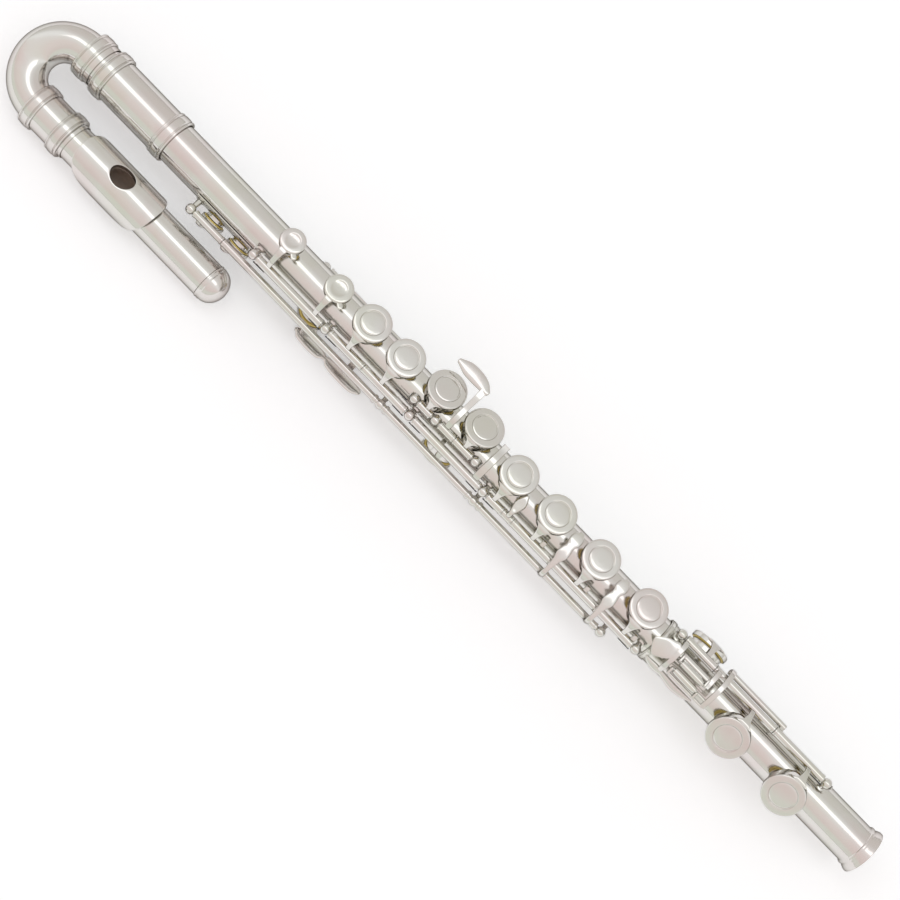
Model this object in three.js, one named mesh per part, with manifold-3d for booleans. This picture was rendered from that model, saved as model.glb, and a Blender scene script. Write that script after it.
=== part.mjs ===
// Curved head flute: a closed-hole concert flute in C with offset G keys, a split E, a C foot, and a head
// joint that turns back on itself so that short arms can reach the keys. Millimetres. +X runs down the
// body tube from the U bend to the foot end, +Z is up off the table. Pieces are laid out round the body
// tube's axis. An angle round it is measured from straight up over the plane of the two head legs, and is
// positive away from the player. The whole flute is then rolled to the way it lies.

import * as THREE from "three";
import { mergeVertices } from "three/addons/utils/BufferGeometryUtils.js";
import Module from "manifold-3d";

const wasm = await Module();
wasm.setup();

// How fine the faces are
const tubeSides = 20;
const cupSides = 16;
const holeSides = 12;
const smallSides = 8;
const postSides = 6;
const bendSteps = 12;
const plateSteps = 10;
const stripAngle = 12;
const weld = 0.001;
const flatness = 0.02;

// Tubes and fits
const tubeRadius = 9.9;
const tubeWall = 0.4;
const fitGap = 0.1;
const seatGap = 0.3;
const endGap = 0.3;
const overrun = 2;

// Barrel, joints and foot tube
const barrelWall = 0.45;
const barrelTopRing = 6.5;
const barrelTopRingStand = 1.35;
const barrelEndRing = 7;
const barrelEndRingStand = 0.75;
const barrelOverlap = 17.5;
const beadEdgeShare = 0.22;
const footOverlap = 12.9;
const footSocketReach = 1.5;
const footRing = 3;
const footRingStand = 0.6;
const footEndRing = 5.4;
const footEndRingStand = 1.5;

// Head joint
const legSpacing = 31.7;
const bendStep = 0.9;
const bendWall = 0.4;
const bendSetback = 10.6;
const bendStub = 3.6;
const bendFerruleLength = 9.2;
const bendRing = 6.6;
const bendRingStand = 0.85;
const bendRingGap = 1.7;
const tenonSetback = 6.2;
const tenonLength = 30.2;
const tenonGap = 2;
const mouthpieceStep = 0.35;
const mouthpieceSetback = 1.6;
const mouthpieceLength = 97.7;
const ferruleLength = 24.7;
const ferruleSetback = 11.7;
const ferruleWall = 0.45;
const ferruleRing = 6.4;
const ferruleRingStand = 1.25;
const ferruleLip = 1.8;
const embouchureAt = 40.3;
const embouchureLength = 12.3;
const embouchureWidth = 9.8;
const lipPlateLength = 45.5;
const lipPlateRise = 1.7;
const lipPlateThickness = 0.9;
const riserWall = 1.3;
const crownLength = 9.6;
const crownRimStand = 0.35;
const crownRim = 2.2;
const crownSkirt = 6;
const crownWall = 1.4;
const crownThread = 4.2;
const corkDistance = 17.3;
const corkLength = 11;
const corkPlate = 1;
const corkScrewRadius = 1.5;
const corkTravel = 1;

// Rods, hinge tubes, posts and the ribs that carry them
const rodRadius = 1;
const hingeRadius = 2;
const trillHingeRadius = 1.7;
const collarStand = 0.45;
const collarWidth = 1.6;
const relief = 0.08;
const boreClearance = 0.1;
const postBall = 2.4;
const postStem = 1.15;
const postFoot = 2.1;
const postFootHeight = 0.5;
const ribThickness = 0.7;
const ribGap = 0.3;
const ribMargin = 2.5;
const mainRodStand = 5.7;
const trillRodStand = 6.8;
const gRodStand = 3.7;
const thumbRodStand = 5.1;
const footRodStand = 5.1;

// Cups, pads and tone holes
const rimHeight = 2.6;
const trillRimHeight = 1.5;
const rimWall = 0.6;
const holeInset = 2;
const padThickness = 2.4;
const trillPadThickness = 1.5;
const padProud = 0.9;
const padSideGap = 0.15;
const cupWall = 0.45;
const cupTop = 0.7;
const cupDome = 0.5;
const cupStep = 0.3;
const cupDiscShare = 0.66;
const smallCup = 5.9;
const touchCup = 6.55;
const leftHandCup = 8.7;
const gCup = 9.2;
const rightHandCup = 8.9;
const gSharpCup = 8.3;
const trillCup = 5.9;
const dSharpCup = 9.4;
const footCup = 9.8;

// The run of the body: from the barrel to the first cup, and the gaps between cups
const barrelToCSharp = 62.4;
const cSharpToTouch = 15.85;
const touchToBFlat = 5.25;
const bFlatToA = 3.2;
const aToUpperG = 3.8;
const upperGToLowerG = 4.5;
const lowerGToFSharp = 6.6;
const fSharpToF = 5.5;
const fToE = 9;
const eToD = 11.3;
const dToBodyEnd = 16.9;
const barrelToTrill = 29.6;
const betweenTrills = 3.8;
const thumbBeforeTouch = 3.1;
const footStartToDSharp = 10.6;
const dSharpToCSharp = 10.8;
const cSharpToC = 14.5;
const cToFootEnd = 36.4;

// Arms and touches
const armWidth = 2.4;
const armThickness = 1.3;
const touchThickness = 2.2;
const eLeverStand = 5.6;
const sideTouchStand = 5;
const trillTouchStand = 7.7;
const gSharpTouchStand = 16.3;
const gSharpTouchLength = 17.2;
const gSharpTouchWidth = 6.9;
const underGap = 0.35;
const underThickness = 0.9;
const thumbTouchStand = 10.3;
const thumbTouchWidth = 7;
const thumbTouchThickness = 1.7;
const bTouchLength = 16.4;
const bFlatTouchLength = 20.4;
const betweenThumbTouches = 1.6;
const lugReach = 4.6;
const screwHead = 1.1;

// Foot touches
const rollerLength = 12.8;
const rollerRadius = 1.7;
const rollerStand = 6.5;
const axleRadius = 0.7;
const lugThickness = 1.4;
const footArmGap = 2.2;
const barRadius = 1.4;
const barStand = 6.7;
const barToCup = 4.6;
const crescentStand = 4.7;
const crescentLength = 26.6;
const crescentWidth = 4;
const platePitch = 9.6;
const plateWidth = 8.6;

// Directions round the tube, lifts and the roll of the whole flute, in degrees
const mainRodAngle = -38;
const trillRodAngle = -67;
const gRodAngle = -13.2;
const thumbRodAngle = 142;
const footRodAngle = 37;
const keyLine = 27;
const gLine = 40;
const trillLine = -100;
const gSharpLine = -122;
const thumbLine = -150;
const thumbTouchLine = -113;
const gSharpTouchFace = 12;
const lipPlateReach = 105;
const footLine = -32;
const dSharpLine = 99;
const ribAngles = { low: -79, high: -27, tongueLow: -73, tongueHigh: -54, tabHigh: -6 };
const thumbRibHalfAngle = 12;
const footRibAngles = { low: 28, high: 46 };
const mainLift = 9;
const gLift = 11;
const thumbLift = 8;
const footLift = 9;
const layRoll = 16;

const degrees = THREE.MathUtils.degToRad;
const quarterTurn = Math.PI / 2;

const silver = new THREE.MeshStandardMaterial({ color: "#d8d5cf", roughness: 0.22, metalness: 1 });
const steel = new THREE.MeshStandardMaterial({ color: "#c4c3bf", roughness: 0.3, metalness: 1 });
const padSkin = new THREE.MeshStandardMaterial({ color: "#d7bd63", roughness: 0.6, metalness: 0 });
const corkMaterial = new THREE.MeshStandardMaterial({ color: "#b98d5c", roughness: 0.9, metalness: 0 });
const brass = new THREE.MeshStandardMaterial({ color: "#b9975a", roughness: 0.35, metalness: 1 });

// Radii that follow from the tube. A faceted bore is narrower at its flats than at its corners by
// cornerShare, and a tube that turns in it needs that room.
const tubeBore = tubeRadius - tubeWall;
const cornerShare = Math.cos(Math.PI / tubeSides);
const socketRadius = tubeRadius / cornerShare + fitGap;
const bendRadius = tubeRadius - bendStep;
const mouthpieceRadius = bendRadius - mouthpieceStep;
const boreRadius = rodRadius + boreClearance;
const bodyTop = tenonLength - tenonSetback + tenonGap;
const barrelLength = bodyTop + barrelOverlap;
const legAt = -legSpacing;

// Places of the tone holes and touches along the body
const cSharpHoleAt = barrelLength + barrelToCSharp + smallCup;
const cTouchAt = cSharpHoleAt + smallCup + cSharpToTouch + touchCup;
const bFlatHoleAt = cTouchAt + touchCup + touchToBFlat + leftHandCup;
const aHoleAt = bFlatHoleAt + leftHandCup + bFlatToA + leftHandCup;
const upperGHoleAt = aHoleAt + leftHandCup + aToUpperG + gCup;
const lowerGHoleAt = upperGHoleAt + gCup + upperGToLowerG + gCup;
const fSharpHoleAt = lowerGHoleAt + gCup + lowerGToFSharp + rightHandCup;
const fHoleAt = fSharpHoleAt + rightHandCup + fSharpToF + rightHandCup;
const eHoleAt = fHoleAt + rightHandCup + fToE + rightHandCup;
const dHoleAt = eHoleAt + rightHandCup + eToD + rightHandCup;
const bodyEnd = dHoleAt + rightHandCup + dToBodyEnd;
const dSharpTrillHoleAt = barrelLength + barrelToTrill + trillCup;
const dTrillHoleAt = dSharpTrillHoleAt + trillCup + betweenTrills + trillCup;
const thumbHoleAt = cTouchAt - thumbBeforeTouch;
const gStemAt = upperGHoleAt + gCup + upperGToLowerG / 2;
const gSharpArmAt = gStemAt + armWidth * 1.4;
const gSharpHoleAt = gSharpArmAt + armThickness;
const eLeverAt = lowerGHoleAt + gCup + lowerGToFSharp / 2;
const sideTouchAt = fSharpHoleAt + rightHandCup * 1.03;
const dTrillTouchAt = fHoleAt + rightHandCup + fToE / 2;
const dSharpTrillTouchAt = eHoleAt + rightHandCup + eToD / 2;
const footStart = bodyEnd - footOverlap;
const footSocketEnd = bodyEnd + footSocketReach;
const dSharpFootHoleAt = footStart + footStartToDSharp + dSharpCup;
const cSharpFootHoleAt = dSharpFootHoleAt + dSharpCup + dSharpToCSharp + footCup;
const cFootHoleAt = cSharpFootHoleAt + footCup + cSharpToC + footCup;
const footEnd = cFootHoleAt + footCup + cToFootEnd;

// Each post stands beside a cup, at a share of the cup's radius from its middle.
const upperPostAt = cSharpHoleAt - smallCup * 1.41;
const leftHandPostAt = cTouchAt + touchCup * 1.2;
const middlePostAt = upperGHoleAt - gCup * 0.37;
const rightHandPostAt = fSharpHoleAt - rightHandCup * 0.63;
const lowerPostAt = dHoleAt + rightHandCup;
const trillTopPostAt = dSharpTrillHoleAt - trillCup * 1.56;
const trillUpperPostAt = aHoleAt + leftHandCup * 0.68;
const trillLowerPostAt = rightHandPostAt;
const trillEndPostAt = dHoleAt - rightHandCup * 0.7;
const gPostsAt = {
  top: upperGHoleAt - gCup * 0.76,
  middle: upperGHoleAt + gCup * 0.64,
  end: lowerGHoleAt + gCup * 0.83,
};
const footTopPostAt = footStart + postBall + footRing + fitGap;
const footEndPostAt = cFootHoleAt + footCup * 1.05;

// Rods, each a distance and a direction from the tube's axis
const mainRod = { radius: tubeRadius + mainRodStand, angle: mainRodAngle };
const trillRod = { radius: tubeRadius + trillRodStand, angle: trillRodAngle };
const gRod = { radius: tubeRadius + gRodStand, angle: gRodAngle };
const thumbRod = { radius: tubeRadius + thumbRodStand, angle: thumbRodAngle };
const footRod = { radius: tubeRadius + footRodStand, angle: footRodAngle };

// A closed geometry as a solid that can be joined and cut. Triangles that a revolve flattens on its axis
// are dropped, and a geometry that came out facing inwards is turned round.
function solid(geometry) {
  const bare = new THREE.BufferGeometry().setAttribute("position", geometry.getAttribute("position"));
  if (geometry.index) bare.setIndex(geometry.index);
  const merged = mergeVertices(bare, weld);
  const corners = merged.index.array;
  const kept = [];
  for (let i = 0; i < corners.length; i += 3) {
    const [a, b, c] = [corners[i], corners[i + 1], corners[i + 2]];
    if (a !== b && b !== c && c !== a) kept.push(a, b, c);
  }
  const vertProperties = merged.attributes.position.array;
  const build = (list) =>
    new wasm.Manifold(new wasm.Mesh({ numProp: 3, vertProperties, triVerts: new Uint32Array(list) }));
  const made = build(kept);
  return made.volume() < 0 ? build(kept.reverse()) : made;
}

function join(...pieces) {
  return pieces.reduce((whole, piece) => whole.add(piece));
}

function cut(whole, ...cutters) {
  return cutters.reduce((left, cutter) => left.subtract(cutter), whole);
}

// A finished piece. Faces that joins and cuts have split are merged again.
function named(name, shape, material) {
  const mesh = shape.asOriginal().simplify(flatness).getMesh();
  const geometry = new THREE.BufferGeometry();
  geometry.setAttribute("position", new THREE.BufferAttribute(mesh.vertProperties, mesh.numProp));
  geometry.setIndex(new THREE.BufferAttribute(mesh.triVerts, 1));
  geometry.computeVertexNormals();
  const piece = new THREE.Mesh(geometry, material);
  piece.name = name;
  return piece;
}

// A profile of [radius, height] points turned about +Z.
function turned(profile, sides) {
  const points = profile.map(([radius, height]) => new THREE.Vector2(radius, height));
  return new THREE.LatheGeometry(points, sides).rotateX(quarterTurn);
}

// A profile of [radius, x] points turned about a line along X through (y, z).
function turnedAlong(profile, sides, y = 0, z = 0) {
  return solid(turned(profile, sides).rotateY(quarterTurn).translate(0, y, z));
}

function barAlong(from, to, radius, sides, y = 0, z = 0) {
  return turnedAlong([[0, from], [radius, from], [radius, to], [0, to]], sides, y, z);
}

function pipeAlong(from, to, outer, inner, sides, y = 0, z = 0) {
  return turnedAlong([[inner, from], [outer, from], [outer, to], [inner, to], [inner, from]], sides, y, z);
}

// Geometry standing on +Z, turned to stand out from the tube in a direction round it.
function facing(geometry, x, angle) {
  return solid(geometry.rotateX(-degrees(angle)).translate(x, 0, 0));
}

// A place given across and out from the tube's axis, in the frame of one direction round the tube.
function spot(x, angle, across, out) {
  const turn = degrees(angle);
  const y = across * Math.cos(turn) + out * Math.sin(turn);
  const z = out * Math.cos(turn) - across * Math.sin(turn);
  return new THREE.Vector3(x, y, z);
}

// A place that stands off the tube's surface in a direction round it.
function over(x, angle, stand) {
  return spot(x, angle, 0, tubeRadius + stand);
}

function axisOf(rod, x = 0) {
  return spot(x, rod.angle, 0, rod.radius);
}

function outward(angle) {
  return spot(0, angle, 0, 1);
}

// A strip of a cylinder's wall between two angles round the tube.
function strip(from, to, inner, outer, low, high) {
  const shape = new THREE.Shape();
  shape.absarc(0, 0, outer, quarterTurn - degrees(high), quarterTurn - degrees(low), false);
  shape.absarc(0, 0, inner, quarterTurn - degrees(low), quarterTurn - degrees(high), true);
  const curveSegments = Math.max(2, Math.round((high - low) / stripAngle));
  const plate = new THREE.ExtrudeGeometry(shape, { depth: to - from, bevelEnabled: false, curveSegments });
  // The drawing's x becomes the flute's y, its y the flute's z, and its depth runs along the tube.
  const axes = new THREE.Matrix4().makeBasis(
    new THREE.Vector3(0, 1, 0),
    new THREE.Vector3(0, 0, 1),
    new THREE.Vector3(1, 0, 0),
  );
  return solid(plate.applyMatrix4(axes).translate(from, 0, 0));
}

// Cross-sections of arms and touches, as shares of half their width and half their thickness
const flatShares = [[-1, -1], [1, -1], [1, 1], [-1, 1]];
const pillowShares = [[-1, -0.3], [-0.75, -1], [0.75, -1], [1, -0.3], [0.72, 0.75], [0, 1], [-0.72, 0.75]];

// A bar of changing width and thickness through a row of stations, each [place, width, thickness]. Its
// thickness points the way of `up` as nearly as the run of the bar allows.
function blade(stations, up, sectionShares = flatShares) {
  const sides = sectionShares.length;
  const places = stations.map(([place]) => place);
  const corners = [];
  stations.forEach(([place, width, thickness], i) => {
    const before = places[Math.max(i - 1, 0)];
    const after = places[Math.min(i + 1, places.length - 1)];
    const along = after.clone().sub(before).normalize();
    const across = new THREE.Vector3().crossVectors(up, along).normalize();
    const out = new THREE.Vector3().crossVectors(along, across);
    for (const [a, b] of sectionShares) {
      const corner = place.clone();
      corner.addScaledVector(across, (a * width) / 2).addScaledVector(out, (b * thickness) / 2);
      corners.push(...corner.toArray());
    }
  });
  const faces = [];
  for (let i = 0; i + 1 < stations.length; i++) {
    for (let j = 0; j < sides; j++) {
      const [a, b] = [i * sides + j, i * sides + ((j + 1) % sides)];
      faces.push(a, b, b + sides, a, b + sides, a + sides);
    }
  }
  const last = (stations.length - 1) * sides;
  for (let j = 1; j + 1 < sides; j++) faces.push(0, j + 1, j, last, last + j, last + j + 1);
  const geometry = new THREE.BufferGeometry();
  geometry.setAttribute("position", new THREE.BufferAttribute(new Float32Array(corners), 3));
  geometry.setIndex(faces);
  return solid(geometry);
}

// An arm that leaves a rod and bends round the tube. Each row of its table is an angle, then shares of the
// arm's stand off the tube, its width and its thickness.
function bentArm(rod, x, stand, width, thickness, tableShares, sectionShares = flatShares) {
  const bends = tableShares.map(([angle, standShare, widthShare = 1, thicknessShare = 1]) => [
    over(x, angle, stand * standShare),
    width * widthShare,
    thickness * thicknessShare,
  ]);
  const middle = (rod.angle + tableShares.at(-1)[0]) / 2;
  return blade([[axisOf(rod, x), width, thickness], ...bends], outward(middle), sectionShares);
}

// Cup and pad over one tone hole. Heights are out from the tube's axis, with the key closed.
function seatOf(rim, thickness) {
  const padBottom = rim + seatGap;
  const ceiling = padBottom + thickness + fitGap;
  return { padBottom, cupBottom: padBottom + padProud, ceiling, top: ceiling + cupTop, thickness };
}

const rimTop = tubeRadius + rimHeight;
const trillRimTop = tubeRadius + trillRimHeight;
const seat = seatOf(rimTop, padThickness);
const trillSeat = seatOf(trillRimTop, trillPadThickness);

function cup(x, angle, radius, at = seat) {
  const disc = radius * cupDiscShare;
  const inside = radius - cupWall;
  const profile = [
    [0, at.ceiling],
    [inside, at.ceiling],
    [inside, at.cupBottom],
    [radius, at.cupBottom],
    [radius, at.top - cupDome],
    [disc + cupStep, at.top],
    [disc, at.top - cupStep],
    [0, at.top - cupStep],
  ];
  return facing(turned(profile, cupSides), x, angle);
}

// The room inside a cup, which its arm stays out of.
function padSpace(x, angle, cupRadius, at = seat) {
  const inside = cupRadius - cupWall;
  const low = at.padBottom - seatGap;
  const profile = [[0, low], [inside, low], [inside, at.ceiling], [0, at.ceiling]];
  return facing(turned(profile, cupSides), x, angle);
}

function pad(name, x, angle, cupRadius, at = seat) {
  const radius = cupRadius - cupWall - padSideGap;
  const top = at.padBottom + at.thickness;
  const profile = [[0, at.padBottom], [radius, at.padBottom], [radius, top], [0, top]];
  return named(name, facing(turned(profile, cupSides), x, angle), padSkin);
}

// Tone holes: [place along the tube, direction, hole radius, rim height from the axis]
const bodyHoles = [
  [cSharpHoleAt, keyLine, smallCup - holeInset, rimTop],
  [bFlatHoleAt, keyLine, leftHandCup - holeInset, rimTop],
  [aHoleAt, keyLine, leftHandCup - holeInset, rimTop],
  [upperGHoleAt, gLine, gCup - holeInset, rimTop],
  [lowerGHoleAt, gLine, gCup - holeInset, rimTop],
  [fSharpHoleAt, keyLine, rightHandCup - holeInset, rimTop],
  [fHoleAt, keyLine, rightHandCup - holeInset, rimTop],
  [eHoleAt, keyLine, rightHandCup - holeInset, rimTop],
  [dHoleAt, keyLine, rightHandCup - holeInset, rimTop],
  [gSharpHoleAt, gSharpLine, gSharpCup - holeInset, rimTop],
  [thumbHoleAt, thumbLine, leftHandCup - holeInset, rimTop],
  [dSharpTrillHoleAt, trillLine, trillCup - holeInset, trillRimTop],
  [dTrillHoleAt, trillLine, trillCup - holeInset, trillRimTop],
];
const footHoles = [
  [dSharpFootHoleAt, dSharpLine, dSharpCup - holeInset, rimTop],
  [cSharpFootHoleAt, footLine, footCup - holeInset, rimTop],
  [cFootHoleAt, footLine, footCup - holeInset, rimTop],
];

// A tube with its tone holes drawn up into short chimneys.
function drilled(outside, bore, holes) {
  const start = tubeRadius / 2;
  const walls = holes.map(([x, angle, radius, rim]) => {
    const outer = radius + rimWall;
    return facing(turned([[0, start], [outer, start], [outer, rim], [0, rim]], holeSides), x, angle);
  });
  const cutters = holes.map(([x, angle, radius, rim]) => {
    const top = rim + overrun;
    return facing(turned([[0, 0], [radius, 0], [radius, top], [0, top]], holeSides), x, angle);
  });
  return cut(join(outside, ...walls), bore, ...cutters);
}

function bodyTube() {
  const outside = barAlong(bodyTop, bodyEnd, tubeRadius, tubeSides);
  const bore = barAlong(bodyTop - overrun, bodyEnd + overrun, tubeBore, tubeSides);
  return drilled(outside, bore, bodyHoles);
}

// The profile of a rounded ring over a wall, from its start to its end.
function bead(start, end, wall, stand) {
  const edge = (end - start) * beadEdgeShare;
  return [
    [wall + stand / 2, start],
    [wall + stand, start + edge],
    [wall + stand, end - edge],
    [wall + stand / 2, end],
  ];
}

function barrel() {
  const wall = socketRadius + barrelWall;
  const endRingStart = barrelLength - barrelEndRing;
  return turnedAlong(
    [
      [socketRadius, 0],
      ...bead(0, barrelTopRing, wall, barrelTopRingStand),
      [wall, barrelTopRing],
      [wall, endRingStart],
      ...bead(endRingStart, barrelLength, wall, barrelEndRingStand),
      [socketRadius, barrelLength],
      [socketRadius, 0],
    ],
    tubeSides,
  );
}

function footTube() {
  const wall = socketRadius + barrelWall;
  const ringEnd = footStart + footRing;
  const endRing = footEnd - footEndRing;
  const outside = turnedAlong(
    [
      [0, footStart],
      [wall, footStart],
      [wall + footRingStand, footStart + footRing / 4],
      [wall + footRingStand, ringEnd - footRing / 4],
      [wall, ringEnd],
      [wall, footSocketEnd - barrelWall],
      [tubeRadius, footSocketEnd],
      [tubeRadius, endRing],
      [tubeRadius + footEndRingStand / 2, endRing + footEndRing / 4],
      [tubeRadius + footEndRingStand / 2, endRing + footEndRing / 2],
      [tubeRadius + footEndRingStand, footEnd - footEndRing / 4],
      [tubeRadius + footEndRingStand, footEnd],
      [0, footEnd],
    ],
    tubeSides,
  );
  const bore = barAlong(footStart, footEnd + overrun, tubeBore, tubeSides);
  const socket = barAlong(footStart - overrun, bodyEnd + seatGap, socketRadius, tubeSides);
  return cut(drilled(outside, bore, footHoles), socket);
}

// The run of the U bend: a short straight stub, a half circle, and a stub again.
class BendRun extends THREE.Curve {
  getPoint(share) {
    const radius = legSpacing / 2;
    const arc = Math.PI * radius;
    const at = share * (arc + 2 * bendStub);
    const past = at - bendStub - arc;
    if (at < bendStub) return new THREE.Vector3(bendStub - at - bendSetback, 0, 0);
    if (past > 0) return new THREE.Vector3(past - bendSetback, legAt, 0);
    const turn = (at - bendStub) / radius;
    return new THREE.Vector3(-bendSetback - radius * Math.sin(turn), radius * (Math.cos(turn) - 1), 0);
  }
}

function uBend() {
  const ring = new THREE.Shape();
  ring.absarc(0, 0, bendRadius, 0, 2 * Math.PI);
  const hollow = new THREE.Path();
  hollow.absarc(0, 0, bendRadius - bendWall, 0, 2 * Math.PI);
  ring.holes.push(hollow);
  const extrudePath = new BendRun();
  const curveSegments = tubeSides / 2;
  return solid(new THREE.ExtrudeGeometry(ring, { extrudePath, steps: bendSteps, curveSegments }));
}

// A ring that joins two tubes of different size: its bore steps from the bend's tube to the next one.
function bendFerrule() {
  const inner = bendRadius + 2 * fitGap;
  const step = -tenonSetback - endGap;
  const wall = socketRadius + bendWall;
  const end = -bendRingGap;
  const start = end - bendFerruleLength;
  return turnedAlong(
    [
      [inner, start],
      ...bead(start, start + bendRing, wall, bendRingStand),
      [wall, start + bendRing],
      [wall, end],
      [socketRadius, end],
      [socketRadius, step],
      [inner, step],
      [inner, start],
    ],
    tubeSides,
  );
}

function mouthpieceFerrule() {
  const inner = bendRadius + 2 * fitGap;
  const narrow = mouthpieceRadius + fitGap;
  const wall = inner + ferruleWall;
  const step = -mouthpieceSetback - endGap;
  const start = -ferruleSetback;
  const end = start + ferruleLength;
  const lastRingEnd = end - ferruleLip;
  const lastRing = lastRingEnd - ferruleRing;
  return turnedAlong(
    [
      [inner, start],
      ...bead(start, start + ferruleRing, wall, ferruleRingStand),
      [wall, start + ferruleRing],
      [wall, lastRing],
      ...bead(lastRing, lastRingEnd, wall, ferruleRingStand),
      [narrow + ferruleWall, lastRingEnd],
      [narrow + ferruleWall, end],
      [narrow, end],
      [narrow, step],
      [inner, step],
      [inner, start],
    ],
    tubeSides,
    legAt,
  );
}

// An upright oval prism on the mouthpiece leg, standing out the way the embouchure hole faces.
function ovalPrism(length, width, low, high) {
  const oval = new THREE.Shape();
  oval.absellipse(0, 0, length / 2, width / 2, 0, 2 * Math.PI);
  const depth = high - low;
  const curveSegments = tubeSides / 2;
  const prism = new THREE.ExtrudeGeometry(oval, { depth, bevelEnabled: false, curveSegments });
  prism.translate(0, 0, low).rotateX(-degrees(keyLine));
  return solid(prism.translate(embouchureAt, legAt, 0));
}

const mouthpieceEnd = mouthpieceLength - mouthpieceSetback;

function mouthpieceTube() {
  const bore = mouthpieceRadius - tubeWall;
  const pipe = pipeAlong(-mouthpieceSetback, mouthpieceEnd, mouthpieceRadius, bore, tubeSides, legAt);
  return cut(pipe, ovalPrism(embouchureLength, embouchureWidth, 0, mouthpieceRadius + overrun));
}

// The lip plate's sheet, bent round the mouthpiece. It is longest along the tube, and reaches less and less
// far round it towards its blunt ends.
const lipPlateEndShare = 0.985;
const lipPlateOvalPower = 2.6;
function lipSheet(inner, outer) {
  const rows = plateSteps + 1;
  const corner = (i, j, side) => (i * rows + j) * 2 + side;
  const corners = [];
  for (let i = 0; i <= plateSteps; i++) {
    const along = -lipPlateEndShare * Math.cos((Math.PI * i) / plateSteps);
    const reach = lipPlateReach * (1 - Math.abs(along) ** lipPlateOvalPower) ** (1 / lipPlateOvalPower);
    for (let j = 0; j <= plateSteps; j++) {
      const angle = keyLine + reach * ((2 * j) / plateSteps - 1);
      for (const radius of [inner, outer]) {
        const place = spot(embouchureAt + (along * lipPlateLength) / 2, angle, 0, radius);
        corners.push(place.x, place.y + legAt, place.z);
      }
    }
  }
  const faces = [];
  const quad = (a, b, c, d) => faces.push(a, b, c, a, c, d);
  const last = plateSteps;
  for (let i = 0; i < last; i++) {
    for (let j = 0; j < last; j++) {
      quad(corner(i, j, 1), corner(i + 1, j, 1), corner(i + 1, j + 1, 1), corner(i, j + 1, 1));
      quad(corner(i, j, 0), corner(i, j + 1, 0), corner(i + 1, j + 1, 0), corner(i + 1, j, 0));
    }
    quad(corner(i + 1, 0, 1), corner(i, 0, 1), corner(i, 0, 0), corner(i + 1, 0, 0));
    quad(corner(i, last, 1), corner(i + 1, last, 1), corner(i + 1, last, 0), corner(i, last, 0));
    quad(corner(0, i, 1), corner(0, i + 1, 1), corner(0, i + 1, 0), corner(0, i, 0));
    quad(corner(last, i + 1, 1), corner(last, i, 1), corner(last, i, 0), corner(last, i + 1, 0));
  }
  const geometry = new THREE.BufferGeometry();
  geometry.setAttribute("position", new THREE.BufferAttribute(new Float32Array(corners), 3));
  geometry.setIndex(faces);
  return solid(geometry);
}

// The lip plate is held up off the mouthpiece by a riser round the hole.
function lipPlate() {
  const inner = mouthpieceRadius + lipPlateRise;
  const outer = inner + lipPlateThickness;
  const top = outer + overrun;
  const from = embouchureAt - lipPlateLength;
  const to = embouchureAt + lipPlateLength;
  const riser = ovalPrism(
    embouchureLength + 2 * riserWall,
    embouchureWidth + 2 * riserWall,
    mouthpieceRadius / 2,
    inner + lipPlateThickness / 2,
  );
  const tubeSpace = barAlong(from, to, mouthpieceRadius + fitGap, tubeSides, legAt);
  const whole = join(lipSheet(inner, outer), cut(riser, tubeSpace));
  return cut(whole, ovalPrism(embouchureLength, embouchureWidth, 0, top));
}

const crownDomeShares = [[1, 0], [0.94, 0.45], [0.78, 0.74], [0.45, 0.94], [0, 1]];

function crown() {
  const rim = mouthpieceRadius + crownRimStand;
  const start = mouthpieceEnd + seatGap;
  const rimEnd = start + crownRim;
  const dome = crownLength - crownRim;
  const skirt = (mouthpieceRadius - tubeWall) * cornerShare - fitGap;
  const skirtBore = skirt - crownWall;
  const thread = corkScrewRadius + fitGap;
  return turnedAlong(
    [
      [thread, start + crownThread],
      [thread, start],
      [skirtBore, start],
      [skirtBore, start - crownSkirt],
      [skirt, start - crownSkirt],
      [skirt, start],
      [rim, start],
      [rim, rimEnd - crownRimStand],
      ...crownDomeShares.map(([out, along]) => [mouthpieceRadius * out, rimEnd + dome * along]),
      [0, start + crownThread],
      [thread, start + crownThread],
    ],
    tubeSides,
    legAt,
  );
}

const corkFace = embouchureAt + corkDistance;
const corkRadius = mouthpieceRadius - tubeWall - fitGap / 2;

function headCork() {
  const start = corkFace + corkPlate + seatGap;
  return pipeAlong(start, start + corkLength, corkRadius, corkScrewRadius + fitGap, tubeSides, legAt);
}

function corkScrew() {
  const plate = corkRadius - fitGap;
  const back = corkFace + corkPlate + 2 * seatGap + corkLength;
  const tip = mouthpieceEnd + seatGap + crownThread - corkTravel;
  return turnedAlong(
    [
      [0, corkFace],
      [plate, corkFace],
      [plate, corkFace + corkPlate],
      [corkScrewRadius, corkFace + corkPlate],
      [corkScrewRadius, back],
      [plate, back],
      [plate, back + corkPlate],
      [corkScrewRadius, back + corkPlate],
      [corkScrewRadius, tip],
      [0, tip],
    ],
    tubeSides,
    legAt,
  );
}

// A ball-headed post that stands at a rod, on a rib over a surface of the given radius.
function post(x, rod, base = tubeRadius + ribGap) {
  const foot = base + ribThickness + postFootHeight;
  const neck = Math.max(rod.radius - postBall * 0.8, foot + weld);
  const profile = [
    [0, base + ribThickness / 2],
    [postFoot, base + ribThickness / 2],
    [postStem, foot],
    [postStem, neck],
    [postBall, rod.radius - postBall / 3],
    [postBall, rod.radius + postBall / 3],
    [0, rod.radius + postBall],
  ];
  return facing(turned(profile, postSides), x, rod.angle);
}

function drillAlong(from, to, rod, radius = boreRadius) {
  const axis = axisOf(rod);
  return barAlong(from - overrun, to + overrun, radius, smallSides, axis.y, axis.z);
}

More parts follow.
